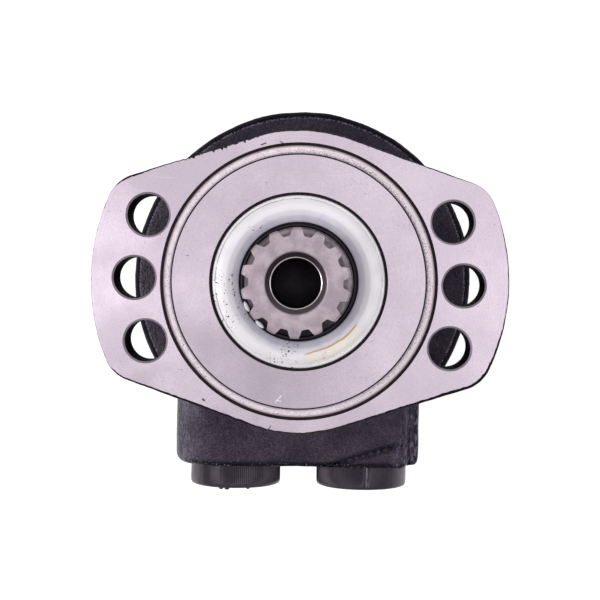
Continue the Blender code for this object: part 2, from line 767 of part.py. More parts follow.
def make_thrust_bearing(low, high, rollers=12):
    """A flat cage of radial rollers between the thrust washer and the shaft's shoulder."""
    cage = [
        (28.3 * mm, high - 0.45 * mm),
        (28.3 * mm, low + 0.45 * mm),
        (19.0 * mm, low + 0.45 * mm),
        (19.0 * mm, high - 0.45 * mm),
    ]
    ring = turned("thrust_bearing", cage, bright_steel, SHAFT_SIDES)
    places = []
    for x, y in ring_of(rollers, 23.7 * mm):
        turn = Matrix.Rotation(math.atan2(y, x), 4, "Z") @ Matrix.Rotation(math.pi / 2, 4, "Y")
        places.append(Matrix.Translation((x, y, (low + high) / 2)) @ turn)
    work = bmesh.new()
    for place in places:
        half = (high - low) / 2
        bmesh.ops.create_cone(
            work, cap_ends=True, segments=6, radius1=half, radius2=half, depth=6.0 * mm, matrix=place
        )
    mesh = bpy.data.meshes.new("thrust_rollers")
    work.to_mesh(mesh)
    work.free()
    join(ring, add_object("thrust_rollers", mesh))


# ---------------------------------------------------------------- gear set


def link_section(z, root_r, tip_r, crown=0.0):
    """The link's outline at one height: toothed, or round where both radii are equal."""
    if root_r == tip_r:
        root_half, tip_half = 0.26 * root_r, 0.09 * tip_r
    else:
        root_half, tip_half = LINK_ROOT_HALF - crown, LINK_TIP_HALF - crown
    outline = toothed_outline(LINK_TEETH, root_r - crown, tip_r - crown, root_half, tip_half)
    return [(x, y, z) for x, y in outline]


def crowned_teeth(middle, half_length, crown=0.45 * mm, steps=2):
    """Sections of one crowned spline, front end first: the teeth thin towards both ends."""
    sections = []
    for i in range(steps + 1):
        share = 1 - 2 * i / steps
        z = middle + half_length * share
        sections.append(link_section(z, LINK_ROOT_R, LINK_TIP_R, crown * share * share))
    return sections


def loft(name, sections, material):
    """A closed solid through sections of equally many points, from the top one down."""
    work = bmesh.new()
    rings = [[work.verts.new(point) for point in section] for section in sections]
    for upper, lower in zip(rings, rings[1:]):
        for i in range(len(upper)):
            j = (i + 1) % len(upper)
            work.faces.new((upper[i], lower[i], lower[j], upper[j]))
    work.faces.new(rings[0])
    work.faces.new(list(reversed(rings[-1])))
    mesh = bpy.data.meshes.new(name)
    work.to_mesh(mesh)
    work.free()
    smooth(mesh)
    return add_object(name, mesh, material)


def make_drive_link():
    """The crowned link, tilted from the shaft's axis to the rotor's centre and on to the nose."""
    rear = -math.hypot(LINK_SPAN, ORBIT)
    nose = rear * (LINK_PIVOT_Z - COMMUTATOR_MID_Z) / LINK_SPAN
    sections = [link_section(7.9 * mm, 11.2 * mm, 11.2 * mm)]
    sections += crowned_teeth(0.0, 7.0 * mm)
    sections.append(link_section(-9.5 * mm, 9.5 * mm, 9.5 * mm))
    sections.append(link_section(-13.0 * mm, 8.5 * mm, 8.5 * mm))
    sections.append(link_section(rear + 13.0 * mm, 8.5 * mm, 8.5 * mm))
    sections.append(link_section(rear + 9.6 * mm, 10.0 * mm, 10.0 * mm))
    sections += crowned_teeth(rear, 8.0 * mm)
    sections.append(link_section(rear - 9.4 * mm, 8.4 * mm, 8.4 * mm))
    sections.append(link_section(rear - 12.0 * mm, 7.0 * mm, 7.0 * mm))
    sections.append(link_section(nose + 6.0 * mm, 6.6 * mm, 6.6 * mm))
    sections.append(link_section(nose + 3.4 * mm, 7.3 * mm, 7.3 * mm))
    sections.append(link_section(nose, 7.7 * mm, 7.7 * mm))
    sections.append(link_section(nose - 2.8 * mm, 7.3 * mm, 7.3 * mm))
    sections.append(link_section(nose - 4.4 * mm, 6.0 * mm, 6.0 * mm))
    link = loft("drive_link", sections, forged_steel)
    link.rotation_euler = (-LINK_TILT, 0.0, 0.0)
    link.location = (0.0, 0.0, LINK_PIVOT_Z)


def make_gear_set():
    """Stator, rollers and rotor. The rotor rests pushed towards the lowest roller."""
    gallery = circle(GALLERY_R, HOLE_SIDES, GALLERY_CENTRE)
    outlines = [circle(BODY_R), stator_bore_outline(), gallery] + bolt_holes()
    stator = plate("stator", outlines, STATOR_Z, STATOR_TOP, bright_steel)
    cut(stator, groove_cutter("stator_front_groove", STATOR_TOP, -1))
    cut(stator, groove_cutter("stator_rear_groove", STATOR_Z, 1))
    for number, angle in enumerate(ROLLER_ANGLES, start=1):
        make_roller(number, polar(ROLLER_CIRCLE_R, angle))
    rotor = plate(
        "rotor", [rotor_outline(), link_socket_outline()], -STATOR_T / 2, STATOR_T / 2, bright_steel
    )
    rotor.location = (0.0, -ORBIT, ROTOR_MID_Z)


def make_roller(number, centre):
    half = STATOR_T / 2
    edge = 0.6 * mm
    profile = [
        (0.0, half),
        (ROLLER_R - edge, half),
        (ROLLER_R, half - edge),
        (ROLLER_R, edge - half),
        (ROLLER_R - edge, -half),
        (0.0, -half),
    ]
    turned(f"roller_{number}", profile, bright_steel, 16, (*centre, ROTOR_MID_Z))


# ---------------------------------------------------------------- plates behind the gear set


def groove_cutter(name, face_z, inward):
    """The seal ring's groove, cut into a face at face_z; inward is 1 upwards or -1 downwards."""
    outer = RING_OUTER_R + GROOVE_SIDE
    inner = RING_INNER_R - GROOVE_SIDE
    ends = sorted((face_z + inward * GROOVE_DEPTH, face_z - inward * 1.0 * mm))
    profile = [(outer, ends[1]), (outer, ends[0]), (inner, ends[0]), (inner, ends[1])]
    return turned(name, profile, sides=RING_SIDES)


def make_seal_ring(number, groove_face_z, inward):
    """A square-cut ring, sunk in its groove and standing a little proud of it."""
    middle = groove_face_z + inward * (GROOVE_DEPTH - SEAM / 2 - RING_T / 2)
    low, high = middle - RING_T / 2, middle + RING_T / 2
    profile = [(RING_OUTER_R, high), (RING_OUTER_R, low), (RING_INNER_R, low), (RING_INNER_R, high)]
    turned(f"section_seal_{number}", profile, seal_blue, RING_SIDES)


def make_section_seals():
    grooves = (
        (HOUSING_Z, 1),
        (STATOR_TOP, -1),
        (STATOR_Z, 1),
        (COMMUTATOR_RING_TOP, -1),
        (COMMUTATOR_RING_Z, 1),
    )
    for number, (face_z, inward) in enumerate(grooves, start=1):
        make_seal_ring(number, face_z, inward)


def make_wear_plate():
    gallery = circle(GALLERY_R, HOLE_SIDES, GALLERY_CENTRE)
    outlines = [circle(BODY_R), circle(14.5 * mm, 24), gallery] + bolt_holes()
    plate("wear_plate", outlines, WEAR_PLATE_Z, WEAR_PLATE_TOP, bright_steel)


def radial_slots(name, inner_r, outer_r, width, low, high):
    """One straight slot behind each displacement chamber, square to the body's axis."""
    middle_r = (inner_r + outer_r) / 2
    places = []
    for x, y in ring_of(BOLT_COUNT, middle_r, math.pi / 2):
        turn = Matrix.Rotation(math.atan2(y, x), 4, "Z")
        places.append(Matrix.Translation((x, y, (low + high) / 2)) @ turn)
    return boxes(name, (outer_r - inner_r, width, high - low), places)


def make_manifold():
    """Stepped passages lead from the commutator's circle out to the chambers."""
    gallery = circle(GALLERY_R, HOLE_SIDES, GALLERY_CENTRE)
    outlines = [circle(BODY_R), circle(12.6 * mm, 24), gallery] + bolt_holes()
    manifold = plate("manifold", outlines, MANIFOLD_Z, MANIFOLD_TOP, bright_steel)
    middle = MANIFOLD_Z + MANIFOLD_T / 2
    beyond = 1.0 * mm
    chamber_side = radial_slots(
        "chamber_slots", 26.0 * mm, 33.0 * mm, 4.6 * mm, middle - 1.5 * mm, MANIFOLD_TOP + beyond
    )
    valve_side = radial_slots(
        "valve_slots", 17.5 * mm, 28.5 * mm, 4.0 * mm, MANIFOLD_Z - beyond, middle + 1.5 * mm
    )
    cut(manifold, chamber_side, valve_side)


def make_commutator_ring():
    """The spacer ring that the commutator orbits in, with a feed slot from the gallery."""
    outlines = [circle(BODY_R), circle(29.6 * mm)] + bolt_holes()
    ring = plate("commutator_ring", outlines, COMMUTATOR_RING_Z, COMMUTATOR_RING_TOP, bright_steel)
    x, y = polar(36.0 * mm, RIGHT_GALLERY_ANGLE)
    turn = Matrix.Rotation(math.atan2(y, x), 4, "Z")
    slot_t = 5.0 * mm
    place = Matrix.Translation((x, y, COMMUTATOR_RING_TOP - slot_t / 2 + 0.5 * mm)) @ turn
    feed = boxes("feed_slot", (16.0 * mm, 7.0 * mm, slot_t + 1.0 * mm), [place])
    front = groove_cutter("ring_front_groove", COMMUTATOR_RING_TOP, -1)
    rear = groove_cutter("ring_rear_groove", COMMUTATOR_RING_Z, 1)
    cut(ring, feed, front, rear)


def make_commutator():
    """The orbiting valve disc, on the link's nose, and the sealing ring behind it."""
    low, high = COMMUTATOR_RING_Z + 0.3 * mm, COMMUTATOR_RING_TOP - 0.3 * mm
    centre = (0.0, -COMMUTATOR_ORBIT, 0.0)
    disc = [
        (24.0 * mm, high),
        (24.0 * mm, low),
        (20.3 * mm, low),
        (20.3 * mm, low + 2.4 * mm),
        (17.0 * mm, low + 2.4 * mm),
        (17.0 * mm, low),
        (8.2 * mm, low),
        (8.2 * mm, high),
        (13.5 * mm, high),
        (13.5 * mm, high - 3.0 * mm),
        (18.5 * mm, high - 3.0 * mm),
        (18.5 * mm, high),
    ]
    commutator = turned("commutator", disc, bright_steel, SHAFT_SIDES, centre)
    ports = [(x, y - COMMUTATOR_ORBIT) for x, y in ring_of(6, 16.0 * mm, math.pi / 6)]
    cut(commutator, cylinders("commutator_ports", ports, 1.5 * mm, low - 1.0 * mm, high, 6))
    seal = [
        (20.0 * mm, low + 2.1 * mm),
        (20.0 * mm, low - 0.1 * mm),
        (17.3 * mm, low - 0.1 * mm),
        (17.3 * mm, low + 2.1 * mm),
    ]
    turned("commutator_seal", seal, bronze_seal, SHAFT_SIDES, centre)


def make_end_cover():
    edge = 1.6 * mm
    profile = [
        (0.0, END_COVER_TOP - 2.0 * mm),
        (9.0 * mm, END_COVER_TOP - 2.0 * mm),
        (9.0 * mm, END_COVER_TOP),
        (BODY_R, END_COVER_TOP),
        (BODY_R, BOLT_SEAT_STEP + edge),
        (BODY_R - edge, BOLT_SEAT_STEP),
        (REAR_PAD_R + BOLT_SEAT_STEP, BOLT_SEAT_STEP),
        (REAR_PAD_R, 0.0),
        (0.0, 0.0),
    ]
    cover = turned("end_cover", profile, painted_iron)
    holes = cylinders("cover_holes", BOLT_CENTRES, BOLT_HOLE_R, -1.0 * mm, END_COVER_T + 1.0 * mm)
    cut(cover, holes)


def make_cover_bolts():
    """Long clamp bolts from the end cover into the housing's rear flange."""
    under_head = BOLT_SEAT_STEP - SEAM
    tip = HOUSING_Z + BOLT_ENGAGEMENT
    neck_low = under_head - BOLT_WASHER_T
    profile = [
        (0.0, tip),
        (BOLT_R - 0.9 * mm, tip),
        (BOLT_R, tip - 0.9 * mm),
        (BOLT_R, under_head),
        (BOLT_HEAD_R - 0.2 * mm, under_head),
        (BOLT_HEAD_R - 0.2 * mm, neck_low),
        (BOLT_HEAD_R - 1.6 * mm, neck_low - 0.4 * mm),
        (0.0, neck_low - 0.4 * mm),
    ]
    for number, (x, y) in enumerate(BOLT_CENTRES, start=1):
        bolt = turned(f"cover_bolt_{number}", profile, zinc_steel, HOLE_SIDES, (x, y, 0.0))
        low, high = neck_low - BOLT_HEAD_T, neck_low - 0.1 * mm
        head = cylinders(f"bolt_head_{number}", [(x, y)], BOLT_HEAD_R, low, high, 6)
        join(bolt, head)


# ---------------------------------------------------------------- port plugs


def make_port_plug(side, x):
    """A threaded shipping plug with a broad head, and the ring that seals it."""
    head_top = BLOCK_FACE_Y + PORT_SPOT_DEPTH - SEAM
    head_low = head_top - PLUG_HEAD_T
    at = turned_place(x, head_top, FACE_Z - PORT_DEPTH_BELOW_FACE)
    profile = [
        (0.0, PLUG_SHANK_L),
        (PLUG_SHANK_R - 1.0 * mm, PLUG_SHANK_L),
        (PLUG_SHANK_R, PLUG_SHANK_L - 1.0 * mm),
        (PLUG_SHANK_R, 0.0),
        (PLUG_HEAD_R - 0.3 * mm, 0.0),
        (PLUG_HEAD_R, -0.3 * mm),
        (PLUG_HEAD_R, head_low - head_top + 1.2 * mm),
        (PLUG_HEAD_R - 1.2 * mm, head_low - head_top),
        (0.0, head_low - head_top),
    ]
    plug = turned(f"port_plug_{side}", profile, black_plastic, 24)
    plug.rotation_euler = (-math.pi / 2, 0.0, BLOCK_TURN)
    plug.location = at
    socket = cylinders(f"plug_socket_{side}", [(0.0, 0.0)], PLUG_HEX_R, -10.0 * mm, -1.0 * mm, 6)
    socket.rotation_euler = plug.rotation_euler
    socket.location = at
    cut(plug, socket)
    centre_r = (PORT_SEAT_R - 0.2 * mm + PLUG_SHANK_R + 0.2 * mm) / 2
    bulk = centre_r - PLUG_SHANK_R - 0.2 * mm
    section = arc((centre_r, bulk + SEAM), bulk, 0.0, -FULL_TURN * 5 / 6, 5)
    ring = turned(f"port_plug_o_ring_{side}", section, rubber, 20)
    ring.rotation_euler = plug.rotation_euler
    ring.location = at


# ---------------------------------------------------------------- assembly

clear_scene()
parts = new_collection(PART_NAME)
cutters = new_collection(PART_NAME + "_cutters")

painted_iron = make_material("painted_iron", (0.025, 0.023, 0.028), 0.0, 0.45)
shaft_steel = make_material("shaft_steel", (0.55, 0.5, 0.53), 1.0, 0.35)
bright_steel = make_material("bright_steel", (0.62, 0.6, 0.62), 1.0, 0.3)
forged_steel = make_material("forged_steel", (0.36, 0.34, 0.36), 1.0, 0.5)
zinc_plate = make_material("zinc_plate", (0.8, 0.82, 0.85), 1.0, 0.25)
zinc_steel = make_material("zinc_steel", (0.1, 0.1, 0.11), 0.8, 0.45)
rubber = make_material("rubber", (0.02, 0.02, 0.022), 0.0, 0.6)
seal_blue = make_material("seal_blue", (0.03, 0.05, 0.09), 0.0, 0.5)
bronze_seal = make_material("bronze_seal", (0.35, 0.2, 0.1), 0.6, 0.4)
black_plastic = make_material("black_plastic", (0.03, 0.03, 0.034), 0.0, 0.4)

make_housing()
make_dust_seal()
make_shaft_seal()
make_bearings()
make_coupling_shaft()
make_drive_link()
make_wear_plate()
make_gear_set()
make_manifold()
make_commutator_ring()
make_commutator()
make_end_cover()
make_section_seals()
make_cover_bolts()
make_port_plug("left", -PORT_X)
make_port_plug("right", PORT_X)
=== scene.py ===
"""Looks of the orbital hydraulic motor: cast housing, machined faces, splined shaft, port plugs."""

import json
import math

import bmesh
import bpy
from mathutils import Matrix, Vector, noise


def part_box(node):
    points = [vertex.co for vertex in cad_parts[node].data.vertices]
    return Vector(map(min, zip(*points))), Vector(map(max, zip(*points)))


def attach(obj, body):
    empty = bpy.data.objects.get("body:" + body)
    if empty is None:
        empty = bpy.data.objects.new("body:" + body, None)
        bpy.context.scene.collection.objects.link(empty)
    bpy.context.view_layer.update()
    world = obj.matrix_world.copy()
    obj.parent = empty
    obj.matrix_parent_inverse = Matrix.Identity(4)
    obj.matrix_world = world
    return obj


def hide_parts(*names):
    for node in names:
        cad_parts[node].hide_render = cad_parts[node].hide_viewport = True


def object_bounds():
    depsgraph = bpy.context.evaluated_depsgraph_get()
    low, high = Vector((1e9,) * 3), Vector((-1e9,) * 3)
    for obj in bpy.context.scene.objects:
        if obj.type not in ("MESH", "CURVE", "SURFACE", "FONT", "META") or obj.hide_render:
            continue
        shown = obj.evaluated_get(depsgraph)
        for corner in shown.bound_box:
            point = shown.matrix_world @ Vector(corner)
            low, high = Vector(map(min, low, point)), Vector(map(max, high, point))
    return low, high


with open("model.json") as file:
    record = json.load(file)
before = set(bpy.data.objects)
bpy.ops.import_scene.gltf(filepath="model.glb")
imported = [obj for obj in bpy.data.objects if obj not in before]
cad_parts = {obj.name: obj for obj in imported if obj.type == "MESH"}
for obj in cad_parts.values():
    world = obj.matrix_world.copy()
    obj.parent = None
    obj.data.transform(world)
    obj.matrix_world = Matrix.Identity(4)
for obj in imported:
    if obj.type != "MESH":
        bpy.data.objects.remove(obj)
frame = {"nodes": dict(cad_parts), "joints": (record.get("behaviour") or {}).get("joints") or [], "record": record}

mm = 0.001
FULL_TURN = 2 * math.pi
CAD_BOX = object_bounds()
MOUNTS = {mount["name"]: Vector(mount["pos_m"]) for mount in frame["record"]["mounts"]}
JOINTS = {joint["name"]: joint for joint in frame["joints"]}
BODY_OF = {
    node: body for body, nodes in frame["record"]["behaviour"]["bodies"].items() for node in nodes
}

# Heights and places read from the frame
FACE = MOUNTS["mounting_face"].z
PILOT_TOP = MOUNTS["pilot_face"].z
SHAFT_TOP = MOUNTS["shaft_end_face"].z
PORT_Z = MOUNTS["port_face"].z
LEFT_SEAT = Vector(JOINTS["plug_left_travel"]["pos_m"])
RIGHT_SEAT = Vector(JOINTS["plug_right_travel"]["pos_m"])
PORT_X = (RIGHT_SEAT - LEFT_SEAT).length / 2
# The casting sits a little round from the bolt holes
BLOCK_ANGLE = math.atan2(RIGHT_SEAT.y - LEFT_SEAT.y, RIGHT_SEAT.x - LEFT_SEAT.x)
BLOCK_TURN = Matrix.Rotation(BLOCK_ANGLE, 4, "Z")
PLUG_SEAT_Y = (BLOCK_TURN.inverted() @ LEFT_SEAT).y
PORT_FACE_Y = (BLOCK_TURN.inverted() @ MOUNTS["port_face"]).y
HOUSING_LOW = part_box("housing")[0][2]
BODY_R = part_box("end_cover")[1][0]

# Flange
FLANGE_T = 15.4 * mm
FLANGE_END_R = 67.3 * mm
FLANGE_MIDDLE_R = 48.8 * mm
FLANGE_CORNER_R = 12.0 * mm
FLANGE_EDGE_ANGLE = math.radians(71.4)
EDGE_R = 1.8 * mm
PILOT_R = 41.25 * mm
RELIEF_R = 44.85 * mm
MOUNT_CIRCLE_R = 53.2 * mm
MOUNT_HOLE_R = 6.75 * mm
MOUNT_ANGLES = [side + math.radians(22.5) * i for side in (0.0, math.pi) for i in (-1, 0, 1)]

# Block and ports
BLOCK_HALF_W = 43.0 * mm
BLOCK_FRONT = FACE - 30.0 * mm
BLOCK_REAR = FACE - 66.0 * mm
REAR_FLANGE_TOP = HOUSING_LOW + 16.0 * mm
CAST_PROUD = 0.5 * mm  # the cast rear flange stands this far outside the ground plates
PORT_PITCH = 1.814 * mm

# Clamp bolts
BOLT_COUNT = 7
BOLT_CIRCLE_R = 54.0 * mm
BOLT_CENTRES = [
    Vector((0.0, BOLT_CIRCLE_R, 0.0)) @ Matrix.Rotation(-FULL_TURN * i / BOLT_COUNT, 3, "Z")
    for i in range(BOLT_COUNT)
]


# ---------------- shader helpers


def feed(socket, value):
    """Link another node's output to the socket, or set its value; a colour may leave out its alpha."""
    if isinstance(value, bpy.types.NodeSocket):
        socket.id_data.links.new(value, socket)
    elif socket.type == "RGBA" and len(value) == 3:
        socket.default_value = (*value, 1.0)
    else:
        socket.default_value = value


def add(tree, kind, inputs=None, **settings):
    """A shader node; each input is a value or another node's output."""
    made = tree.nodes.new("ShaderNode" + kind)
    for key, value in settings.items():
        setattr(made, key, value)
    for key, value in (inputs or {}).items():
        feed(made.inputs[key], value)
    return made


def start(name):
    """A new material and the place on the object that its nodes work from."""
    material = bpy.data.materials.new(name)
    material.use_nodes = True
    return material, add(material.node_tree, "TexCoord").outputs["Object"]


def shaded(material, **inputs):
    """The material with these inputs of its shader fed."""
    shader = material.node_tree.nodes["Principled BSDF"]
    for key, value in inputs.items():
        feed(shader.inputs[key.replace("_", " ")], value)
    return material


# The helpers below work in the node tree of the first output that they are given


def grain(place, size, detail=3.0, roughness=0.55):
    """Noise whose features are about size millimetres across."""
    inputs = {"Vector": place, "Scale": 1.0 / (size * mm), "Detail": detail, "Roughness": roughness}
    return add(place.id_data, "TexNoise", inputs).outputs["Fac"]


def math_node(operation, first, second=0.0):
    return add(first.id_data, "Math", {0: first, 1: second}, operation=operation).outputs[0]


def vector_math(operation, first, second=(0.0, 0.0, 0.0)):
    return add(first.id_data, "VectorMath", {0: first, 1: second}, operation=operation).outputs


def span(value, low, high, to_low=0.0, to_high=1.0):
    """Value taken from low..high to to_low..to_high, clamped and eased."""
    inputs = {"Value": value, "From Min": low, "From Max": high, "To Min": to_low, "To Max": to_high}
    return add(value.id_data, "MapRange", inputs, interpolation_type="SMOOTHSTEP").outputs["Result"]


def ramp(value, level, low, high, to_low=0.0, to_high=1.0):
    """The span of a length whose low and high are millimetres from a level."""
    return span(value, level + low * mm, level + high * mm, to_low, to_high)


def mix(factor, first, second):
    return add(factor.id_data, "Mix", {0: factor, 6: first, 7: second}, data_type="RGBA").outputs[2]


def bump(height, distance, strength=1.0, below=None):
    inputs = {"Height": height, "Distance": distance * mm, "Strength": strength}
    if below is not None:
        inputs["Normal"] = below
    return add(height.id_data, "Bump", inputs).outputs["Normal"]


def stretched(place, scale, detail):
    """Noise drawn out by a different scale along each axis."""
    vector = add(place.id_data, "Mapping", {"Vector": place, "Scale": scale}).outputs["Vector"]
    return add(place.id_data, "TexNoise", {"Vector": vector, "Scale": 1.0, "Detail": detail}).outputs["Fac"]


def coordinate(place, axis):
    return add(place.id_data, "SeparateXYZ", {0: place}).outputs[axis]


def flattened(place):
    return vector_math("MULTIPLY", place, (1.0, 1.0, 0.0))[0]


def distance_from_axis(place):
    return vector_math("LENGTH", flattened(place))["Value"]


def dot(vector, direction):
    return vector_math("DOT_PRODUCT", vector, direction)["Value"]


def toward(place, degrees):
    """1 in the direction of the angle round Z, falling to -1 on the opposite side."""
    return dot(vector_math("NORMALIZE", flattened(place))[0], polar(1.0, math.radians(degrees)))


def off(value, middle):
    """How far the value is from the middle, to either side."""
    return math_node("ABSOLUTE", math_node("SUBTRACT", value, middle))


def both(first, *others):
    """The product of two or more masks."""
    for other in others:
        first = math_node("MULTIPLY", first, other)
    return first


def scaled(color, factor):
    return tuple(factor * part for part in color)


def polar(radius, angle, z=0.0):
    return Vector((radius * math.cos(angle), radius * math.sin(angle), z))


def mark(place, x, y, length, degrees, width):
    """A short straight nick: 1 on its line, fading at its sides and ends, broken by fine noise.

    Lengths are in millimetres.
    """
    angle = math.radians(degrees)
    shifted = vector_math("SUBTRACT", place, (x * mm, y * mm, 0.0))[0]
    side = math_node("ABSOLUTE", dot(shifted, polar(1.0, angle + math.pi / 2)))
    end = math_node("ABSOLUTE", dot(shifted, polar(1.0, angle)))
    return both(
        ramp(side, 0.0, 0.25 * width, width, 1.0, 0.0),
        ramp(end, 0.0, 0.4 * length, 0.5 * length, 1.0, 0.0),
        span(grain(place, 0.5, 2.0), 0.3, 0.5),
    )


# ---------------- materials


def turned_steel(name, light, dark, roughness, pits, marks=()):
    """Lathe-turned steel: rings of fine grooves, faint stains, painted shade towards the lower left inside the
    pilot's edge, small pits, stray scratches and nicks.

    A mark is what the function mark takes, and its colour.
    """
    material, place = start(name)
    radius = distance_from_axis(place)
    inputs = {"W": radius, "Scale": 2600.0, "Detail": 4.0, "Roughness": 0.7}
    rings = add(place.id_data, "TexNoise", inputs, noise_dimensions="1D").outputs["Fac"]
    stain = grain(place, 22, 4.0)
    color = mix(span(stain, 0.36, 0.66), dark, light)
    # Painted shade: darker towards the lower left, inside the pilot's edge
    painted_shade_low_left = span(toward(place, -118), 0.1, 0.95, 0.0, 0.28)
    color = mix(both(painted_shade_low_left, ramp(radius, PILOT_R, 1.0, -1.0)), color, scaled(dark, 0.62))
    color = mix(span(rings, 0.3, 0.72, 0.0, 0.2), color, scaled(dark, 0.62))
    tooth = span(grain(place, 0.42, 2.0, 0.7), 0.34, 0.66, 0.26, 0.0)
    color = mix(tooth, color, scaled(dark, 0.55))
    cluster = span(grain(place, 9, 2.0), 0.5, 0.64)
    speck = both(span(grain(place, 0.55), pits, pits + 0.03), cluster)
    color = mix(speck, color, (0.05, 0.04, 0.05))
    for *nick, tone in marks:
        color = mix(mark(place, *nick), color, tone)
    scratch = span(stretched(place, (60.0, 2600.0, 60.0), 1.0), 0.76, 0.82, 0.0, 0.35)
    color = mix(scratch, color, [min(1.0, part) for part in scaled(light, 1.18)])
    rough = span(stain, 0.3, 0.7, roughness - 0.05, roughness + 0.07)
    normal = bump(speck, -0.06, 0.7, bump(rings, 0.02, 0.5))
    tangent = add(place.id_data, "Tangent", direction_type="RADIAL", axis="Z").outputs[0]
    return shaded(material, Base_Color=color, Roughness=rough, Metallic=1.0, Normal=normal,
                  Tangent=tangent, Anisotropic=0.45, Anisotropic_Rotation=0.25)


def relief_band(name):
    """The relief's floor: bright, finely pitted, with painted shade towards its outer wall and at the pilot's
    foot.
    """
    material, place = start(name)
    radius = distance_from_axis(place)
    blotch = grain(place, 2.2, 4.0)
    color = mix(span(blotch, 0.35, 0.65), (0.80, 0.71, 0.77), (0.97, 0.90, 0.94))
    # Painted shade in the corner under the relief's outer wall
    color = mix(ramp(radius, RELIEF_R, -1.7, -0.8, 0.0, 0.85), color, (0.20, 0.14, 0.13))
    # Painted shade at the pilot's foot
    color = mix(ramp(radius, PILOT_R, 0.35, 0.75, 0.5, 0.0), color, (0.25, 0.20, 0.24))
    speck = span(grain(place, 0.5, 2.0), 0.62, 0.68, 0.0, 0.7)
    color = mix(speck, color, (0.16, 0.12, 0.14))
    pitted = both(
        span(grain(place, 0.45), 0.50, 0.58, 0.0, 0.8),
        ramp(radius, PILOT_R, 2.0, 0.5),
        span(toward(place, 30), -0.3, 0.8, 0.25, 1.0),
    )
    color = mix(pitted, color, (0.14, 0.105, 0.125))
    rough = span(blotch, 0.3, 0.7, 0.38, 0.5)
    return shaded(material, Base_Color=color, Roughness=rough, Metallic=0.75, Normal=bump(blotch, 0.05, 0.5))


# Painted shade along the folds in the block's upper face, as the function mark takes them
CREASE_SHADES = [
    (19.6, -60.4, 27.0, 18, 1.3),
    (35.6, -56.0, 9.0, 7, 1.1),
    (39.3, -46.0, 46.0, 90, 0.9),
]


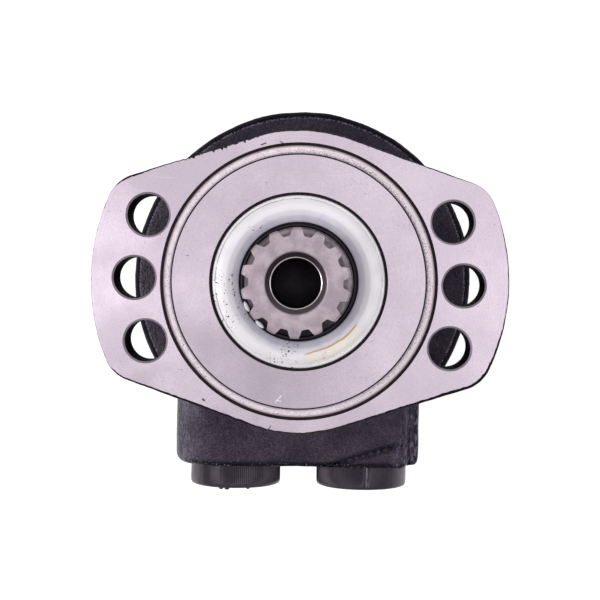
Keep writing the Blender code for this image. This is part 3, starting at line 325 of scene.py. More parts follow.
def cast_paint(name, lumps=0.16, dust=0.74):
    """Black enamel over rough iron: lumpy skin, uneven gloss, a little pale dust, painted shade in the block's
    folds, on its sides and rounded lower edge and low on the rear flange and its chamfer, painted highlights on
    the block's ends, and specks of wear and painted highlight on the rear rim.
    """
    material, place = start(name)
    base, pale_tone = (0.0165, 0.0125, 0.0215), (0.037, 0.029, 0.049)
    coarse = grain(place, 1.7, 4.0, 0.6)
    skin = grain(place, 0.7)
    mottle = grain(place, 0.55, 5.0, 0.75)
    patchy = span(grain(place, 9), 0.38, 0.62, 0.3, 1.0)
    height = coordinate(place, "Z")
    radius = distance_from_axis(place)
    cosine, sine = math.cos(BLOCK_ANGLE), math.sin(BLOCK_ANGLE)
    inwards = dot(place, (-sine, cosine, 0.0))
    leftwards = dot(place, (-cosine, -sine, 0.0))
    aside = math_node("ABSOLUTE", leftwards)
    below_front = ramp(height, BLOCK_FRONT, 1.5, 2.5, 1.0, 0.0)
    below_rim = ramp(height, REAR_FLANGE_TOP, 1.0, 2.0, 1.0, 0.0)
    on_block = both(ramp(height, BLOCK_FRONT, -7.0, -6.0), below_front)
    color = mix(span(grain(place, 24), 0.35, 0.68), scaled(base, 0.7), pale_tone)
    # Mottled tone: the paint's grain, partly painted light and shade standing for its lumps
    color = mix(both(span(mottle, 0.48, 0.72), patchy), color, scaled(pale_tone, 1.6))
    color = mix(span(mottle, 0.50, 0.36, 0.0, 0.8), color, scaled(base, 0.3))
    # Painted shade darkens the block's folds
    for crease in CREASE_SHADES:
        color = mix(both(mark(place, *crease), on_block), color, (0.004, 0.003, 0.005))
    # Painted shade low down, on the rear flange and below it, under the mounting flange
    rear = ramp(height, REAR_FLANGE_TOP, 1.0, 3.0, 0.7, 0.0)
    color = mix(rear, color, (0.006, 0.0055, 0.0085))
    # Painted shade along the block's rounded edge by the port face
    corner = both(ramp(inwards, PORT_FACE_Y, 0.6, 2.8, 0.85, 0.0), on_block)
    color = mix(corner, color, (0.004, 0.0035, 0.005))
    at_edge = ramp(inwards, PORT_FACE_Y, 0.5, 2.2, 1.0, 0.0)
    bare = both(span(grain(place, 0.6), 0.60, 0.66), at_edge, on_block)
    color = mix(bare, color, (0.20, 0.185, 0.24))
    fleck = both(span(grain(place, 0.42, 2.0), dust, dust + 0.035), span(coarse, 0.48, 0.62))
    color = mix(fleck, color, (0.22, 0.20, 0.26))
    # Painted shade on the block's sides, where its rounded corners turn away
    side_shade = both(
        ramp(aside, BLOCK_HALF_W, -4.0, -1.0, 0.0, 0.85),
        ramp(height, BLOCK_REAR, -2.0, 0.0),
        below_front,
    )
    color = mix(side_shade, color, (0.006, 0.005, 0.008))
    # Painted highlight: pale streaks on the block's rounded ends
    painted_end_highlight = both(
        on_block,
        span(stretched(place, (1500.0, 420.0, 420.0), 3.0), 0.50, 0.60, 0.0, 0.9),
        ramp(aside, BLOCK_HALF_W, -12.0, -5.0),
        span(patchy, 0.3, 0.7, 0.4, 1.0),
    )
    color = mix(painted_end_highlight, color, (0.15, 0.13, 0.19))
    # Painted shade on the rear flange's outer chamfer
    rim_shade = both(
        ramp(radius, BODY_R, -2.2, -1.4),
        ramp(height, REAR_FLANGE_TOP, -4.5, -3.0),
        below_rim,
    )
    color = mix(rim_shade, color, (0.006, 0.005, 0.009))
    # Light specks along the rear rim's chamfer: worn paint, and partly a painted highlight
    rubbed = both(
        ramp(off(radius, BODY_R - 2.0 * mm), 0.0, 0.1, 0.55, 1.0, 0.0),
        span(grain(place, 0.8), 0.47, 0.55),
        ramp(height, REAR_FLANGE_TOP, -2.0, -0.8, 0.0, 0.8),
        below_rim,
    )
    color = mix(rubbed, color, (0.16, 0.15, 0.19))
    gloss = both(
        span(mottle, 0.35, 0.65, 0.3, 0.7),
        span(grain(place, 11), 0.36, 0.62, 0.75, 1.1),
        span(rim_shade, 0.0, 1.0, 1.0, 0.05),
        ramp(leftwards, BLOCK_HALF_W, -11.0, -5.0, 1.0, 1.9),
        span(corner, 0.0, 0.85, 1.0, 0.2),
        span(side_shade, 0.0, 0.85, 1.0, 0.35),
        span(rear, 0.0, 0.7, 1.0, 0.75),
    )
    rough = span(skin, 0.3, 0.7, 0.24, 0.46)
    normal = bump(skin, 1.5 * lumps, 0.9, bump(coarse, 3.4 * lumps, 0.9))
    return shaded(material, Base_Color=color, Roughness=rough, Metallic=0.0, Normal=normal,
                  Specular_IOR_Level=gloss, Specular_Tint=(0.95, 0.80, 1.0))


def zinc_plate(name):
    """Bright plating: nearly white outside, greyer inside from painted shade, pitted, with painted shade in its
    turned groove and dried oil.
    """
    material, place = start(name)
    radius = distance_from_axis(place)
    cloud = grain(place, 6, 4.0)
    wander = math_node("ADD", radius, span(cloud, 0.2, 0.8, -1.2 * mm, 1.2 * mm))
    # Painted shade greys the inner half of the domed ring
    color = mix(ramp(wander, 0.0, 19.0, 24.6), (0.74, 0.73, 0.84), (1.0, 0.99, 1.0))
    color = mix(span(cloud, 0.42, 0.72, 0.0, 0.3), color, (0.84, 0.83, 0.90))
    # Painted shade in the turned groove, heavier towards the upper left
    line = both(
        ramp(off(radius, 26.55 * mm), 0.0, 0.04, 0.2, 0.7, 0.0),
        span(cloud, 0.36, 0.5),
        span(toward(place, 150), -0.2, 0.7),
    )
    color = mix(line, color, (0.28, 0.26, 0.30))
    left_side = span(toward(place, 195), 0.90, 0.98)
    low_side = span(toward(place, -99), 0.975, 0.995)
    patchy = span(grain(place, 3.2, 2.0), 0.42, 0.5)
    clusters = both(math_node("MAXIMUM", left_side, low_side), patchy)
    clusters = math_node("MAXIMUM", clusters, span(grain(place, 7, 1.0), 0.66, 0.72))
    spot = both(span(grain(place, 0.75, 2.0), 0.60, 0.635), clusters)
    color = mix(spot, color, (0.05, 0.05, 0.06))
    film, edge = oil_film(place, radius)
    color = mix(film, color, (1.0, 0.95, 0.70))
    color = mix(edge, color, (0.58, 0.38, 0.10))
    rough = span(cloud, 0.3, 0.7, 0.38, 0.48)
    normal = bump(cloud, 0.03, 0.4, bump(spot, -0.05, 0.8))
    return shaded(material, Base_Color=color, Roughness=rough, Metallic=0.3, Normal=normal)


def oil_film(place, radius):
    """A dried smear along the lower right: a pale film and its darker edges."""
    angle = math_node("ARCTAN2", coordinate(place, "Y"), coordinate(place, "X"))
    begin = span(angle, math.radians(-86), math.radians(-80))
    end = span(angle, math.radians(-38), math.radians(-31), 1.0, 0.0)
    wobble = span(grain(place, 8, 1.5), 0.2, 0.8, -0.4 * mm, 0.4 * mm)
    across = math_node("SUBTRACT", radius, wobble)
    band = both(begin, end, ramp(across, 0.0, 22.7, 22.9), ramp(across, 0.0, 25.7, 26.0, 1.0, 0.0))
    inner_edge = ramp(off(across, 22.9 * mm), 0.0, 0.08, 0.42, 0.9, 0.0)
    outer_edge = ramp(off(across, 25.7 * mm), 0.0, 0.02, 0.2, 0.4, 0.0)
    edges = both(begin, end, math_node("MAXIMUM", inner_edge, outer_edge))
    return math_node("MULTIPLY", band, 0.45), edges


def plain_steel(name, color, roughness, metallic=1.0, grain_size=1.2, shine=0.5):
    """Ground, heat-treated or painted steel with a faint grain and slight staining."""
    material, place = start(name)
    fine = grain(place, grain_size)
    shade = mix(span(grain(place, 7, 4.0), 0.36, 0.66), scaled(color, 0.72), color)
    shade = mix(span(fine, 0.66, 0.74, 0.0, 0.5), shade, scaled(color, 0.35))
    rough = span(fine, 0.3, 0.7, roughness - 0.05, roughness + 0.08)
    return shaded(material, Base_Color=shade, Roughness=rough, Metallic=metallic, Specular_IOR_Level=shine,
                  Normal=bump(fine, 0.02, 0.5))


def shaft_steel(name):
    """Ground steel with a satin mottle and painted shade deep between the teeth, heaviest on the lower and left
    sides.
    """
    material, place = start(name)
    fine = grain(place, 0.6)
    color = mix(span(grain(place, 5, 4.0), 0.38, 0.64), (0.345, 0.295, 0.325), (0.455, 0.39, 0.425))
    color = mix(span(fine, 0.64, 0.72, 0.0, 0.45), color, (0.18, 0.15, 0.17))
    # Painted shade deep in the gaps between the teeth, heaviest on the lower and left sides
    deep = ramp(coordinate(place, "Z"), SHAFT_TOP, -12.0, -1.0, 1.0, 0.0)
    low_side = span(toward(place, -100), -0.1, 0.85, 0.0, 0.97)
    left_side = span(toward(place, 170), 0.1, 0.9, 0.0, 0.7)
    patchy_gap_shade = span(grain(place, 3), 0.4, 0.6, 0.6, 0.4)
    gap_shade = math_node("MAXIMUM", math_node("MAXIMUM", low_side, left_side), patchy_gap_shade)
    color = mix(both(deep, gap_shade), color, (0.012, 0.010, 0.014))
    rough = span(fine, 0.3, 0.7, 0.37, 0.48)
    return shaded(material, Base_Color=color, Roughness=rough, Metallic=1.0, Normal=bump(fine, 0.02, 0.5))


def bore_chamfer(name):
    """A tool-cut cone with painted shade: darker at the top and lighter towards the lower right."""
    material, place = start(name)
    fine = grain(place, 0.5)
    # Painted shade and light by direction round the cone
    painted_lit_side = span(toward(place, -60), -0.9, 0.9)
    color = mix(painted_lit_side, (0.085, 0.062, 0.072), (0.24, 0.20, 0.225))
    color = mix(span(fine, 0.55, 0.7, 0.0, 0.4), color, (0.05, 0.04, 0.045))
    return shaded(material, Base_Color=color, Roughness=0.34, Metallic=1.0, Normal=bump(fine, 0.015, 0.5))


def soft_white(name):
    """White dabs standing for glints: painted highlights."""
    material, place = start(name)
    cloud = grain(place, 0.8)
    color = mix(span(cloud, 0.35, 0.7), (0.93, 0.93, 0.92), (1.0, 1.0, 1.0))
    return shaded(material, Base_Color=color, Roughness=0.35, Normal=bump(cloud, 0.05, 0.4))


def soft_black(name, color, roughness, highlight_streak=None):
    """Rubber or moulded plastic: an even dark surface with a fine pebble and faint scuffs.

    highlight_streak is the x and half width of a painted highlight, a pale streak on the side towards the shaft's
    end.
    """
    material, place = start(name)
    broad = grain(place, 6)
    shade = mix(span(broad, 0.4, 0.7), color, scaled(color, 1.9))
    shade = mix(span(grain(place, 0.35, 1.0), 0.74, 0.77, 0.0, 0.7), shade, (0.16, 0.15, 0.19))
    # Painted highlight along the top of the plug's head
    if highlight_streak is not None:
        middle, half_width = highlight_streak
        aside = off(coordinate(place, "X"), middle)
        streak = both(
            span(aside, 0.3 * half_width, half_width, 0.9, 0.0),
            ramp(coordinate(place, "Z"), PORT_Z, 9.0, 11.0),
            ramp(coordinate(place, "Y"), PLUG_SEAT_Y, -8.0, -6.0),
            span(grain(place, 1.4, 2.0), 0.3, 0.5),
        )
        shade = mix(streak, shade, (0.34, 0.31, 0.40))
    rough = span(broad, 0.3, 0.7, roughness - 0.06, roughness + 0.1)
    return shaded(material, Base_Color=shade, Roughness=rough, Specular_Tint=(1.0, 0.88, 1.0),
                  Normal=bump(grain(place, 0.6, 2.0), 0.03, 0.6))


DARK_NICK, PALE_SCRATCH = (0.03, 0.022, 0.03), (0.95, 0.90, 0.94)
FACE_MARKS = [
    (-8.7, -48.0, 3.2, 52, 0.22, DARK_NICK),
    (-29.8, -39.0, 1.2, -40, 0.5, DARK_NICK),
    (-14.4, -38.9, 1.4, -60, 0.3, DARK_NICK),
    (-5.5, -37.5, 3.4, 50, 0.25, PALE_SCRATCH),
    (-5.4, -38.0, 2.0, -15, 0.2, PALE_SCRATCH),
    (-12.5, 44.0, 2.2, 20, 0.3, DARK_NICK),
    (-6.5, 44.6, 1.8, -25, 0.25, DARK_NICK),
]
MACHINED = turned_steel("machined_face", (0.76, 0.676, 0.75), (0.575, 0.506, 0.575), 0.36, 0.68, FACE_MARKS)
GROUND = turned_steel("ground_steel", (0.62, 0.58, 0.60), (0.45, 0.42, 0.44), 0.3, 0.8)
BAND = relief_band("relief_band")
# Near-black steel: painted shade in the bores and on the relief's outer wall
SHADE_DARK_STEEL = plain_steel("shade_dark_steel", (0.03, 0.024, 0.03), 0.5, 0.6)
# Near-black, dull: painted shade on the mount holes' walls
HOLE_WALL_SHADE = plain_steel("hole_wall_shade", (0.006, 0.0055, 0.0075), 0.8, 0.0, shine=0.1)
# A darker, duller copy of the enamel: painted shade on the flange's rounded rim
SHADED_EDGE_PAINT = plain_steel("shaded_edge_paint", (0.004, 0.0034, 0.005), 0.6, 0.0, shine=0.08)
# Near-black: painted shade on the pilot's top edge
PILOT_EDGE_SHADE = plain_steel("pilot_edge_shade", (0.022, 0.017, 0.023), 0.55, 0.5, 0.7)
CHAMFER = plain_steel("drilled_chamfer", (0.62, 0.55, 0.62), 0.55, 0.8, 0.7)
BORE_CHAMFER = bore_chamfer("bore_chamfer")
BORE_EDGE = plain_steel("bore_edge", (0.92, 0.86, 0.88), 0.22)
SHAFT = shaft_steel("shaft_steel")
FORGED = plain_steel("forged_steel", (0.22, 0.20, 0.21), 0.5)
BEARING = plain_steel("bearing_steel", (0.56, 0.54, 0.55), 0.28)
ZINC = zinc_plate("zinc_plating")
PAINT = cast_paint("cast_paint")
SMOOTH_PAINT = cast_paint("smooth_paint", lumps=0.05, dust=0.78)
BOLT_BLACK = plain_steel("bolt_black", (0.05, 0.05, 0.055), 0.45, 0.7)
RUBBER = soft_black("seal_rubber", (0.014, 0.014, 0.016), 0.55)
LIP = soft_black("dust_lip_rubber", (0.011, 0.010, 0.014), 0.5)
GLINT_WHITE = soft_white("painted_glint_white")
PLASTIC = soft_black("plug_plastic", (0.019, 0.016, 0.023), 0.32, highlight_streak=(PORT_X + 2.35 * mm, 0.42 * mm))
PTFE = soft_black("bronze_ptfe", (0.16, 0.09, 0.045), 0.5)


# ---------------- mesh helpers

TINY = 1e-7
SHARP_ANGLE = math.radians(32)


def arc(centre, radius, begin, end, steps):
    turns = [begin + (end - begin) * i / steps for i in range(steps + 1)]
    return [Vector(centre) + polar(radius, turn).to_2d() for turn in turns]


def rounded_edge(radius, steps):
    """How far along and how far in a quarter turn has come at each step."""
    turns = [math.pi / 2 * i / steps for i in range(steps + 1)]
    return [(radius * (1 - math.cos(turn)), radius * (1 - math.sin(turn))) for turn in turns]


def hexagon(radius):
    return arc((0, 0), radius, 0.0, FULL_TURN * 5 / 6, 5)


def thread_rings(crest, root, begin, end, pitch):
    """Profile points of closed thread rings from begin down past end, and the height they stop at."""
    points = []
    while begin > end:
        points += [(crest, begin), (root, begin - pitch / 2)]
        begin -= pitch
    return points, begin


def rising(level, points):
    """Part of a profile whose radii and heights above a level are in millimetres."""
    return [(radius * mm, level + height * mm) for radius, height in points]


def soften(profile, radius, steps=3):
    """The profile's corners rounded to the radius, or to what the neighbouring edges leave."""
    softened = []
    for i, point in enumerate(profile):
        here = Vector(point)
        back = Vector(profile[i - 1]) - here
        ahead = Vector(profile[(i + 1) % len(profile)]) - here
        if here.x == 0.0 or back.length < TINY or ahead.length < TINY:
            softened.append(here)
            continue
        reach = min(radius, 0.45 * back.length, 0.45 * ahead.length)
        first, last = here + back.normalized() * reach, here + ahead.normalized() * reach
        for step in range(steps + 1):
            t = step / steps
            softened.append(first * (1 - t) ** 2 + here * 2 * t * (1 - t) + last * t * t)
    return softened


def placed(name, data):
    """A new object in the scene with this data."""
    obj = bpy.data.objects.new(name, data)
    bpy.context.scene.collection.objects.link(obj)
    return obj


def finish_mesh(name, work, materials):
    mesh = bpy.data.meshes.new(name)
    bmesh.ops.recalc_face_normals(work, faces=work.faces)
    work.to_mesh(mesh)
    work.free()
    mesh.shade_smooth()
    mesh.set_sharp_from_angle(angle=SHARP_ANGLE)
    for material in materials:
        mesh.materials.append(material)
    return placed(name, mesh)


def turned(name, profile, materials, steps, place=None, wave=None, slot=None):
    """A solid turned about Z.

    wave(angle, radius, z) may change a radius, and slot(radius, z) picks the material.
    """
    work = bmesh.new()
    rings = []
    for radius, z in profile:
        if radius < TINY:
            rings.append([work.verts.new((0.0, 0.0, z))])
            continue
        ring = []
        for i in range(steps):
            angle = FULL_TURN * i / steps
            waved = radius if wave is None else wave(angle, radius, z)
            ring.append(work.verts.new(polar(waved, angle, z)))
        rings.append(ring)
    pairs = list(zip(rings, rings[1:]))
    if len(rings[0]) > 1 and len(rings[-1]) > 1:
        pairs.append((rings[-1], rings[0]))
    for upper, lower in pairs:
        if len(upper) == 1 and len(lower) == 1:
            continue
        for i in range(steps):
            around = ((upper, i), (lower, i), (lower, i + 1), (upper, i + 1))
            corners = [ring[k % len(ring)] for ring, k in around]
            face = work.faces.new(list(dict.fromkeys(corners)))
            if slot is not None:
                middle = face.calc_center_median()
                face.material_index = slot(middle.xy.length, middle.z)
    if place is not None:
        bmesh.ops.transform(work, matrix=place, verts=work.verts)
    return finish_mesh(name, work, materials)


def lofted(name, sections, materials):
    """A closed solid through rings of equally many points, with flat ends."""
    work = bmesh.new()
    rings = [[work.verts.new(point) for point in section] for section in sections]
    for upper, lower in zip(rings, rings[1:]):
        for i in range(len(upper)):
            j = (i + 1) % len(upper)
            work.faces.new((upper[i], lower[i], lower[j], upper[j]))
    work.faces.new(rings[0])
    work.faces.new(rings[-1])
    return finish_mesh(name, work, materials)


def prism(name, outline, low, high, materials, place=None):
    obj = lofted(name, [[(x, y, z) for x, y in outline] for z in (low, high)], materials)
    if place is not None:
        obj.data.transform(place)
    return obj


def drop(obj):
    bpy.data.objects.remove(obj, do_unlink=True)


def merged(name, objects):
    """One object with the meshes of several, which are removed."""
    work = bmesh.new()
    materials = list(objects[0].data.materials)
    for obj in objects:
        work.from_mesh(obj.data)
    for obj in objects:
        drop(obj)
    return finish_mesh(name, work, materials)


def drilled(name, profile, materials, centres, steps=32, slot=None):
    """One cutter with the same turned profile at each centre."""
    places = [Matrix.Translation(centre) for centre in centres]
    return merged(name, [turned(name, profile, materials, steps, place, slot=slot) for place in places])


def apply_modifiers(obj):
    bpy.context.view_layer.update()
    graph = bpy.context.evaluated_depsgraph_get()
    mesh = bpy.data.meshes.new_from_object(obj.evaluated_get(graph), depsgraph=graph)
    obj.modifiers.clear()
    obj.data = mesh


def crisp(obj):
    """Smooth shading that breaks at steep edges and wherever one finish meets another."""
    work = bmesh.new()
    work.from_mesh(obj.data)
    for face in work.faces:
        face.smooth = True
    for edge in work.edges:
        faces = edge.link_faces
        if len(faces) == 2:
            steep = edge.calc_face_angle(0.0) > SHARP_ANGLE
            edge.smooth = not steep and faces[0].material_index == faces[1].material_index
    work.to_mesh(obj.data)
    work.free()


def carve(obj, cutters, operation="DIFFERENCE"):
    """Boolean each cutter into obj; the new faces keep the cutter's own materials."""
    for cutter in cutters:
        modifier = obj.modifiers.new(cutter.name, "BOOLEAN")
        modifier.operation = operation
        modifier.solver = "MANIFOLD"
        modifier.material_mode = "TRANSFER"
        modifier.object = cutter
        apply_modifiers(obj)
        drop(cutter)
    crisp(obj)


def settle(obj, *nodes, slot):
    """Ride on the body of the node it stands for and hide that node; slot is not used."""
    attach(obj, BODY_OF[nodes[0]])
    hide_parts(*nodes)


# ---------------- housing


def flange_outline():
    corner_distance = FLANGE_END_R - FLANGE_CORNER_R
    along = math.sqrt(corner_distance**2 - (FLANGE_MIDDLE_R - FLANGE_CORNER_R) ** 2)
    normal = polar(1.0, FLANGE_EDGE_ANGLE).to_2d()
    tangent = Vector((normal.y, -normal.x))
    corner = normal * (FLANGE_MIDDLE_R - FLANGE_CORNER_R) + tangent * along
    corner_angle = math.atan2(corner.y, corner.x)
    edge_start = corner + normal * FLANGE_CORNER_R
    edge_end = normal * FLANGE_MIDDLE_R
    quarter = arc((0, 0), FLANGE_END_R, 0.0, corner_angle, 24)[:-1]
    quarter += arc(corner, FLANGE_CORNER_R, corner_angle, FLANGE_EDGE_ANGLE, 14)[:-1]
    quarter += [edge_start.lerp(edge_end, i / 16) for i in range(16)]
    quarter += arc((0, 0), FLANGE_MIDDLE_R, FLANGE_EDGE_ANGLE, math.pi / 2, 12)
    left = [Vector((-p.x, p.y)) for p in reversed(quarter[:-1])]
    upper = quarter + left
    return upper + [Vector((p.x, -p.y)) for p in reversed(upper[1:-1])]


def evenly_spaced(outline, spacing):
    """The closed outline walked in equal steps."""
    loop = outline + outline[:1]
    total = sum((after - before).length for before, after in zip(loop, loop[1:]))
    count = round(total / spacing)
    points, walked, i = [], 0.0, 0
    for k in range(count):
        goal = total * k / count
        while walked + (loop[i + 1] - loop[i]).length < goal:
            walked += (loop[i + 1] - loop[i]).length
            i += 1
        step = loop[i + 1] - loop[i]
        points.append(loop[i] + step * ((goal - walked) / step.length))
    return points


def outward_normals(outline):
    normals = []
    for i in range(len(outline)):
        along = outline[(i + 1) % len(outline)] - outline[i - 1]
        normals.append(Vector((along.y, -along.x)).normalized())
    return normals


def eased(value, low, high):
    share = max(0.0, min(1.0, (value - low) / (high - low)))
    return share * share * (3 - 2 * share)


def skin_above_face(point):
    """How far the casting stands above the machined face: less skin leaves a wider painted rim."""
    x, y = point.x, point.y
    left_end = eased(-x, 55 * mm, 64 * mm) * (1.0 - eased(abs(y), 27 * mm, 34 * mm))
    upper_left = eased(-x, 44 * mm, 57 * mm) * eased(y, 28 * mm, 34 * mm)
    upper_right = eased(x, 48 * mm, 57 * mm) * eased(y, 12 * mm, 28 * mm)
    lower_left = eased(-x, 0.0, 20 * mm) * eased(-y, 20 * mm, 42 * mm)
    lower_right = eased(0.6 * x - y, 42 * mm, 67 * mm)
    skin = 0.62 + 0.45 * left_end - 0.38 * upper_left + 0.35 * upper_right
    skin -= 0.40 * lower_left + 0.48 * lower_right
    skin += noise.noise((x * 700, y * 700, 0.0)) * (0.10 + 0.38 * left_end)
    return max(0.05, min(1.5, skin)) * mm


def chip_depth(point):
    """Chips broken out of the face's upper left edge."""
    x, y = point.x, point.y
    region = eased(y, 37 * mm, 40 * mm) * eased(-x, 10 * mm, 16 * mm)
    ragged = noise.noise((x * 1100, y * 1100, 3.0)) + 0.6 * noise.noise((x * 2300, y * 2300, 5.0))
    return (0.08 + 1.0 * max(0.0, ragged - 0.05)) * region * mm


def cast_flange():
    """The flange before machining: rounded rough edges, with a skin just above the face."""
    outline = []
    for point in evenly_spaced(flange_outline(), 0.3 * mm):
        # The casting is a little fuller to the right and below
        fuller = (1.008 if point.x > 0 else 1.0, 1.010 if point.y < 0 else 1.003)
        outline.append(Vector((point.x * fuller[0], point.y * fuller[1])))
    normals = outward_normals(outline)
    bottom_r = 2.0 * mm
    side_h = FLANGE_T - EDGE_R - bottom_r
    heights = [(-below, inwards, 1.0) for below, inwards in rounded_edge(EDGE_R, 8)]
    heights += [(-EDGE_R - side_h * i / 8, 0.0, 1.0 - i / 8) for i in range(1, 8)]
    heights += [(above - FLANGE_T, inwards, 0.0) for inwards, above in rounded_edge(bottom_r, 6)]
    sections = []
    for height, inwards, upper in heights:
        section = []
        for point, normal in zip(outline, normals):
            here = (point.x * 260, point.y * 260, height * 260)
            rough = 0.10 * noise.noise(here) + 0.05 * noise.noise([3 * part for part in here])
            moved = point - normal * (inwards + upper * chip_depth(point) - rough * mm)
            section.append((*moved, FACE + height + upper * skin_above_face(point)))
        sections.append(section)
    flange = lofted("cast_flange", sections, [PAINT, SHADED_EDGE_PAINT])
    # The top rim takes the near-black edge paint: painted shade on the rounded edge
    for face in flange.data.polygons:
        face.material_index = int(face.center.z > FACE - 2.5 * mm)
    return flange


def flange_heart():
    """A smaller flange inside the cast one, so that the skin's fillets run into its underside."""
    outline = evenly_spaced(flange_outline(), 3.0 * mm)
    normals = outward_normals(outline)
    inwards = 2.4 * mm
    section = [point - normal * inwards for point, normal in zip(outline, normals)]
    heights = (FACE - 1.8 * mm, FACE - FLANGE_T - 0.1 * mm)
    return lofted("flange_heart", [[(*point, z) for point in section] for z in heights], [PAINT])


def block_outline():
    """The block's section across the ports as (x, z): a broad left corner, a stepped right one."""
    side = -BLOCK_HALF_W - 0.45 * mm
    front = arc((side + 14.0 * mm, BLOCK_FRONT - 14.0 * mm), 14.0 * mm, math.pi, math.pi / 2, 10)
    corner = [(37.2, -0.1), (38.4, -3.6), (39.2, -4.8), (40.4, -3.2), (41.9, -4.4), (42.3, -7.0)]
    rear = [
        (42.3 * mm, BLOCK_REAR + 4.0 * mm),
        (BLOCK_HALF_W - 4.0 * mm, BLOCK_REAR),
        (side + 4.0 * mm, BLOCK_REAR),
        (side, BLOCK_REAR + 4.0 * mm),
    ]
    return front + [Vector(point) for point in rising(BLOCK_FRONT, corner) + rear]


def port_block():
    """The block, left a little long for facing, with its left end corner rounded in plan."""
    end = PORT_FACE_Y - 0.35 * mm
    corner_r = 3.4 * mm
    stations = [(end + inwards, drawn_in, 0.9 * mm) for inwards, drawn_in in rounded_edge(corner_r, 6)]
    stations.append((-20.0 * mm, 0.0, 0.0))
    sections = []
    for y, drawn_in, set_back in stations:
        section = []
        for x, z in block_outline():
            to_left = eased(-x, 10 * mm, 42 * mm)
            to_right = eased(x, 34 * mm, 42 * mm)
            inset = drawn_in * (to_left - 0.4 * to_right)
            section.append(BLOCK_TURN @ Vector((x + inset, y + set_back * to_right, z)))
        sections.append(section)
    return lofted("block", sections, [PAINT])


def rough_castings():
    """The overlapping bodies that the casting's skin is wrapped round."""
    neck = [(43.0, -12.0), (40.0, -19.0), (37.5, -25.0), (37.5, -64.0), (40.0, -70.5), (44.0, -74.5)]
    core = rising(PILOT_TOP, [(0.0, 1.5), (43.0, 1.5)]) + rising(FACE, neck)
    core += [
        (50.0 * mm, REAR_FLANGE_TOP),
        (BODY_R - 1.6 * mm, REAR_FLANGE_TOP),
        (BODY_R + CAST_PROUD, REAR_FLANGE_TOP - 2.2 * mm),
        (BODY_R + CAST_PROUD, HOUSING_LOW - 3.0 * mm),
        (0.0, HOUSING_LOW - 3.0 * mm),
    ]
    web = rising(0.0, [(-27.0, -47.0), (27.0, -47.0), (27.0, -27.0), (-27.0, -27.0)])
    return [
        flange_heart(),
        turned("core", core, [PAINT], 144),
        port_block(),
        prism("web", web, REAR_FLANGE_TOP - 2 * mm, BLOCK_REAR + 3 * mm, [PAINT]),
    ]


def along_crease(x, y):
    """Distance in front of the diagonal step on the block's upper face, positive towards the ports."""
    points = ((7.0 * mm, -64.8 * mm), (31.5 * mm, -56.8 * mm), (40.0 * mm, -55.6 * mm))
    for (x0, y0), (x1, y1) in zip(points, points[1:]):
        if x0 <= x <= x1:
            return y0 + (y1 - y0) * (x - x0) / (x1 - x0) - y
    return None


def cast_relief(co, normal):
    """How far the casting's skin stands off its drawn shape at a point, outwards."""
    swell = noise.noise(co * 55.0) * 0.28 * mm + noise.noise(co * 190.0) * 0.13 * mm
    swell += noise.noise(co * 620.0) * 0.05 * mm
    if co.z > FACE - 3.0 * mm:
        return 0.3 * swell
    if normal.z > 0.6 and co.y < -40 * mm and abs(co.z - BLOCK_FRONT) < 4 * mm:
        ahead = along_crease(co.x, co.y)
        if ahead is not None:
            step = max(0.0, min(1.0, ahead / (1.4 * mm)))
            swell -= 0.7 * mm * step + 1.3 * mm * math.exp(-((ahead - 0.4 * mm) / (0.9 * mm)) ** 2)
    return swell


def casting():
    """One continuous iron skin: the bodies fused, their joints filleted and the surface roughened."""
    body = merged("housing_casting", rough_castings())
    remesh = body.modifiers.new("Skin", "REMESH")
    remesh.mode = "VOXEL"
    remesh.voxel_size = 0.8 * mm
    apply_modifiers(body)
    softer = body.vertex_groups.new(name="below_face")
    below = [v.index for v in body.data.vertices if v.co.z < FACE - 4.0 * mm]
    softer.add(below, 1.0, "REPLACE")
    smooth = body.modifiers.new("Fillets", "SMOOTH")
    smooth.factor = 0.5
    smooth.iterations = 10
    smooth.vertex_group = softer.name
    apply_modifiers(body)
    normals = [v.normal.copy() for v in body.data.vertices]
    for vertex, normal in zip(body.data.vertices, normals):
        vertex.co += normal * cast_relief(vertex.co, normal)
    thin = body.modifiers.new("Thin", "DECIMATE")
    thin.ratio = 0.42
    apply_modifiers(body)
    if not body.data.materials:
        body.data.materials.append(PAINT)
    carve(body, [cast_flange()], "UNION")
    return body


def lathe_finish(radius, z):
    """The material of each face the lathe leaves: 0 plain, 1 near-black for painted shade in the bores and on the
    relief's outer wall, 2 the relief's bright floor, 3 near-black for painted shade on the pilot's edge.
    """
    if radius < 28.5 * mm or (PILOT_R + 2.6 * mm < radius < RELIEF_R and z < FACE - 0.1 * mm):
        return 1
    if radius > PILOT_R - 0.44 * mm and z < PILOT_TOP - 0.01 * mm and radius < RELIEF_R - 0.5 * mm:
        return 2
    return 3 if radius > PILOT_R - 0.94 * mm and z > FACE + 0.1 * mm else 0


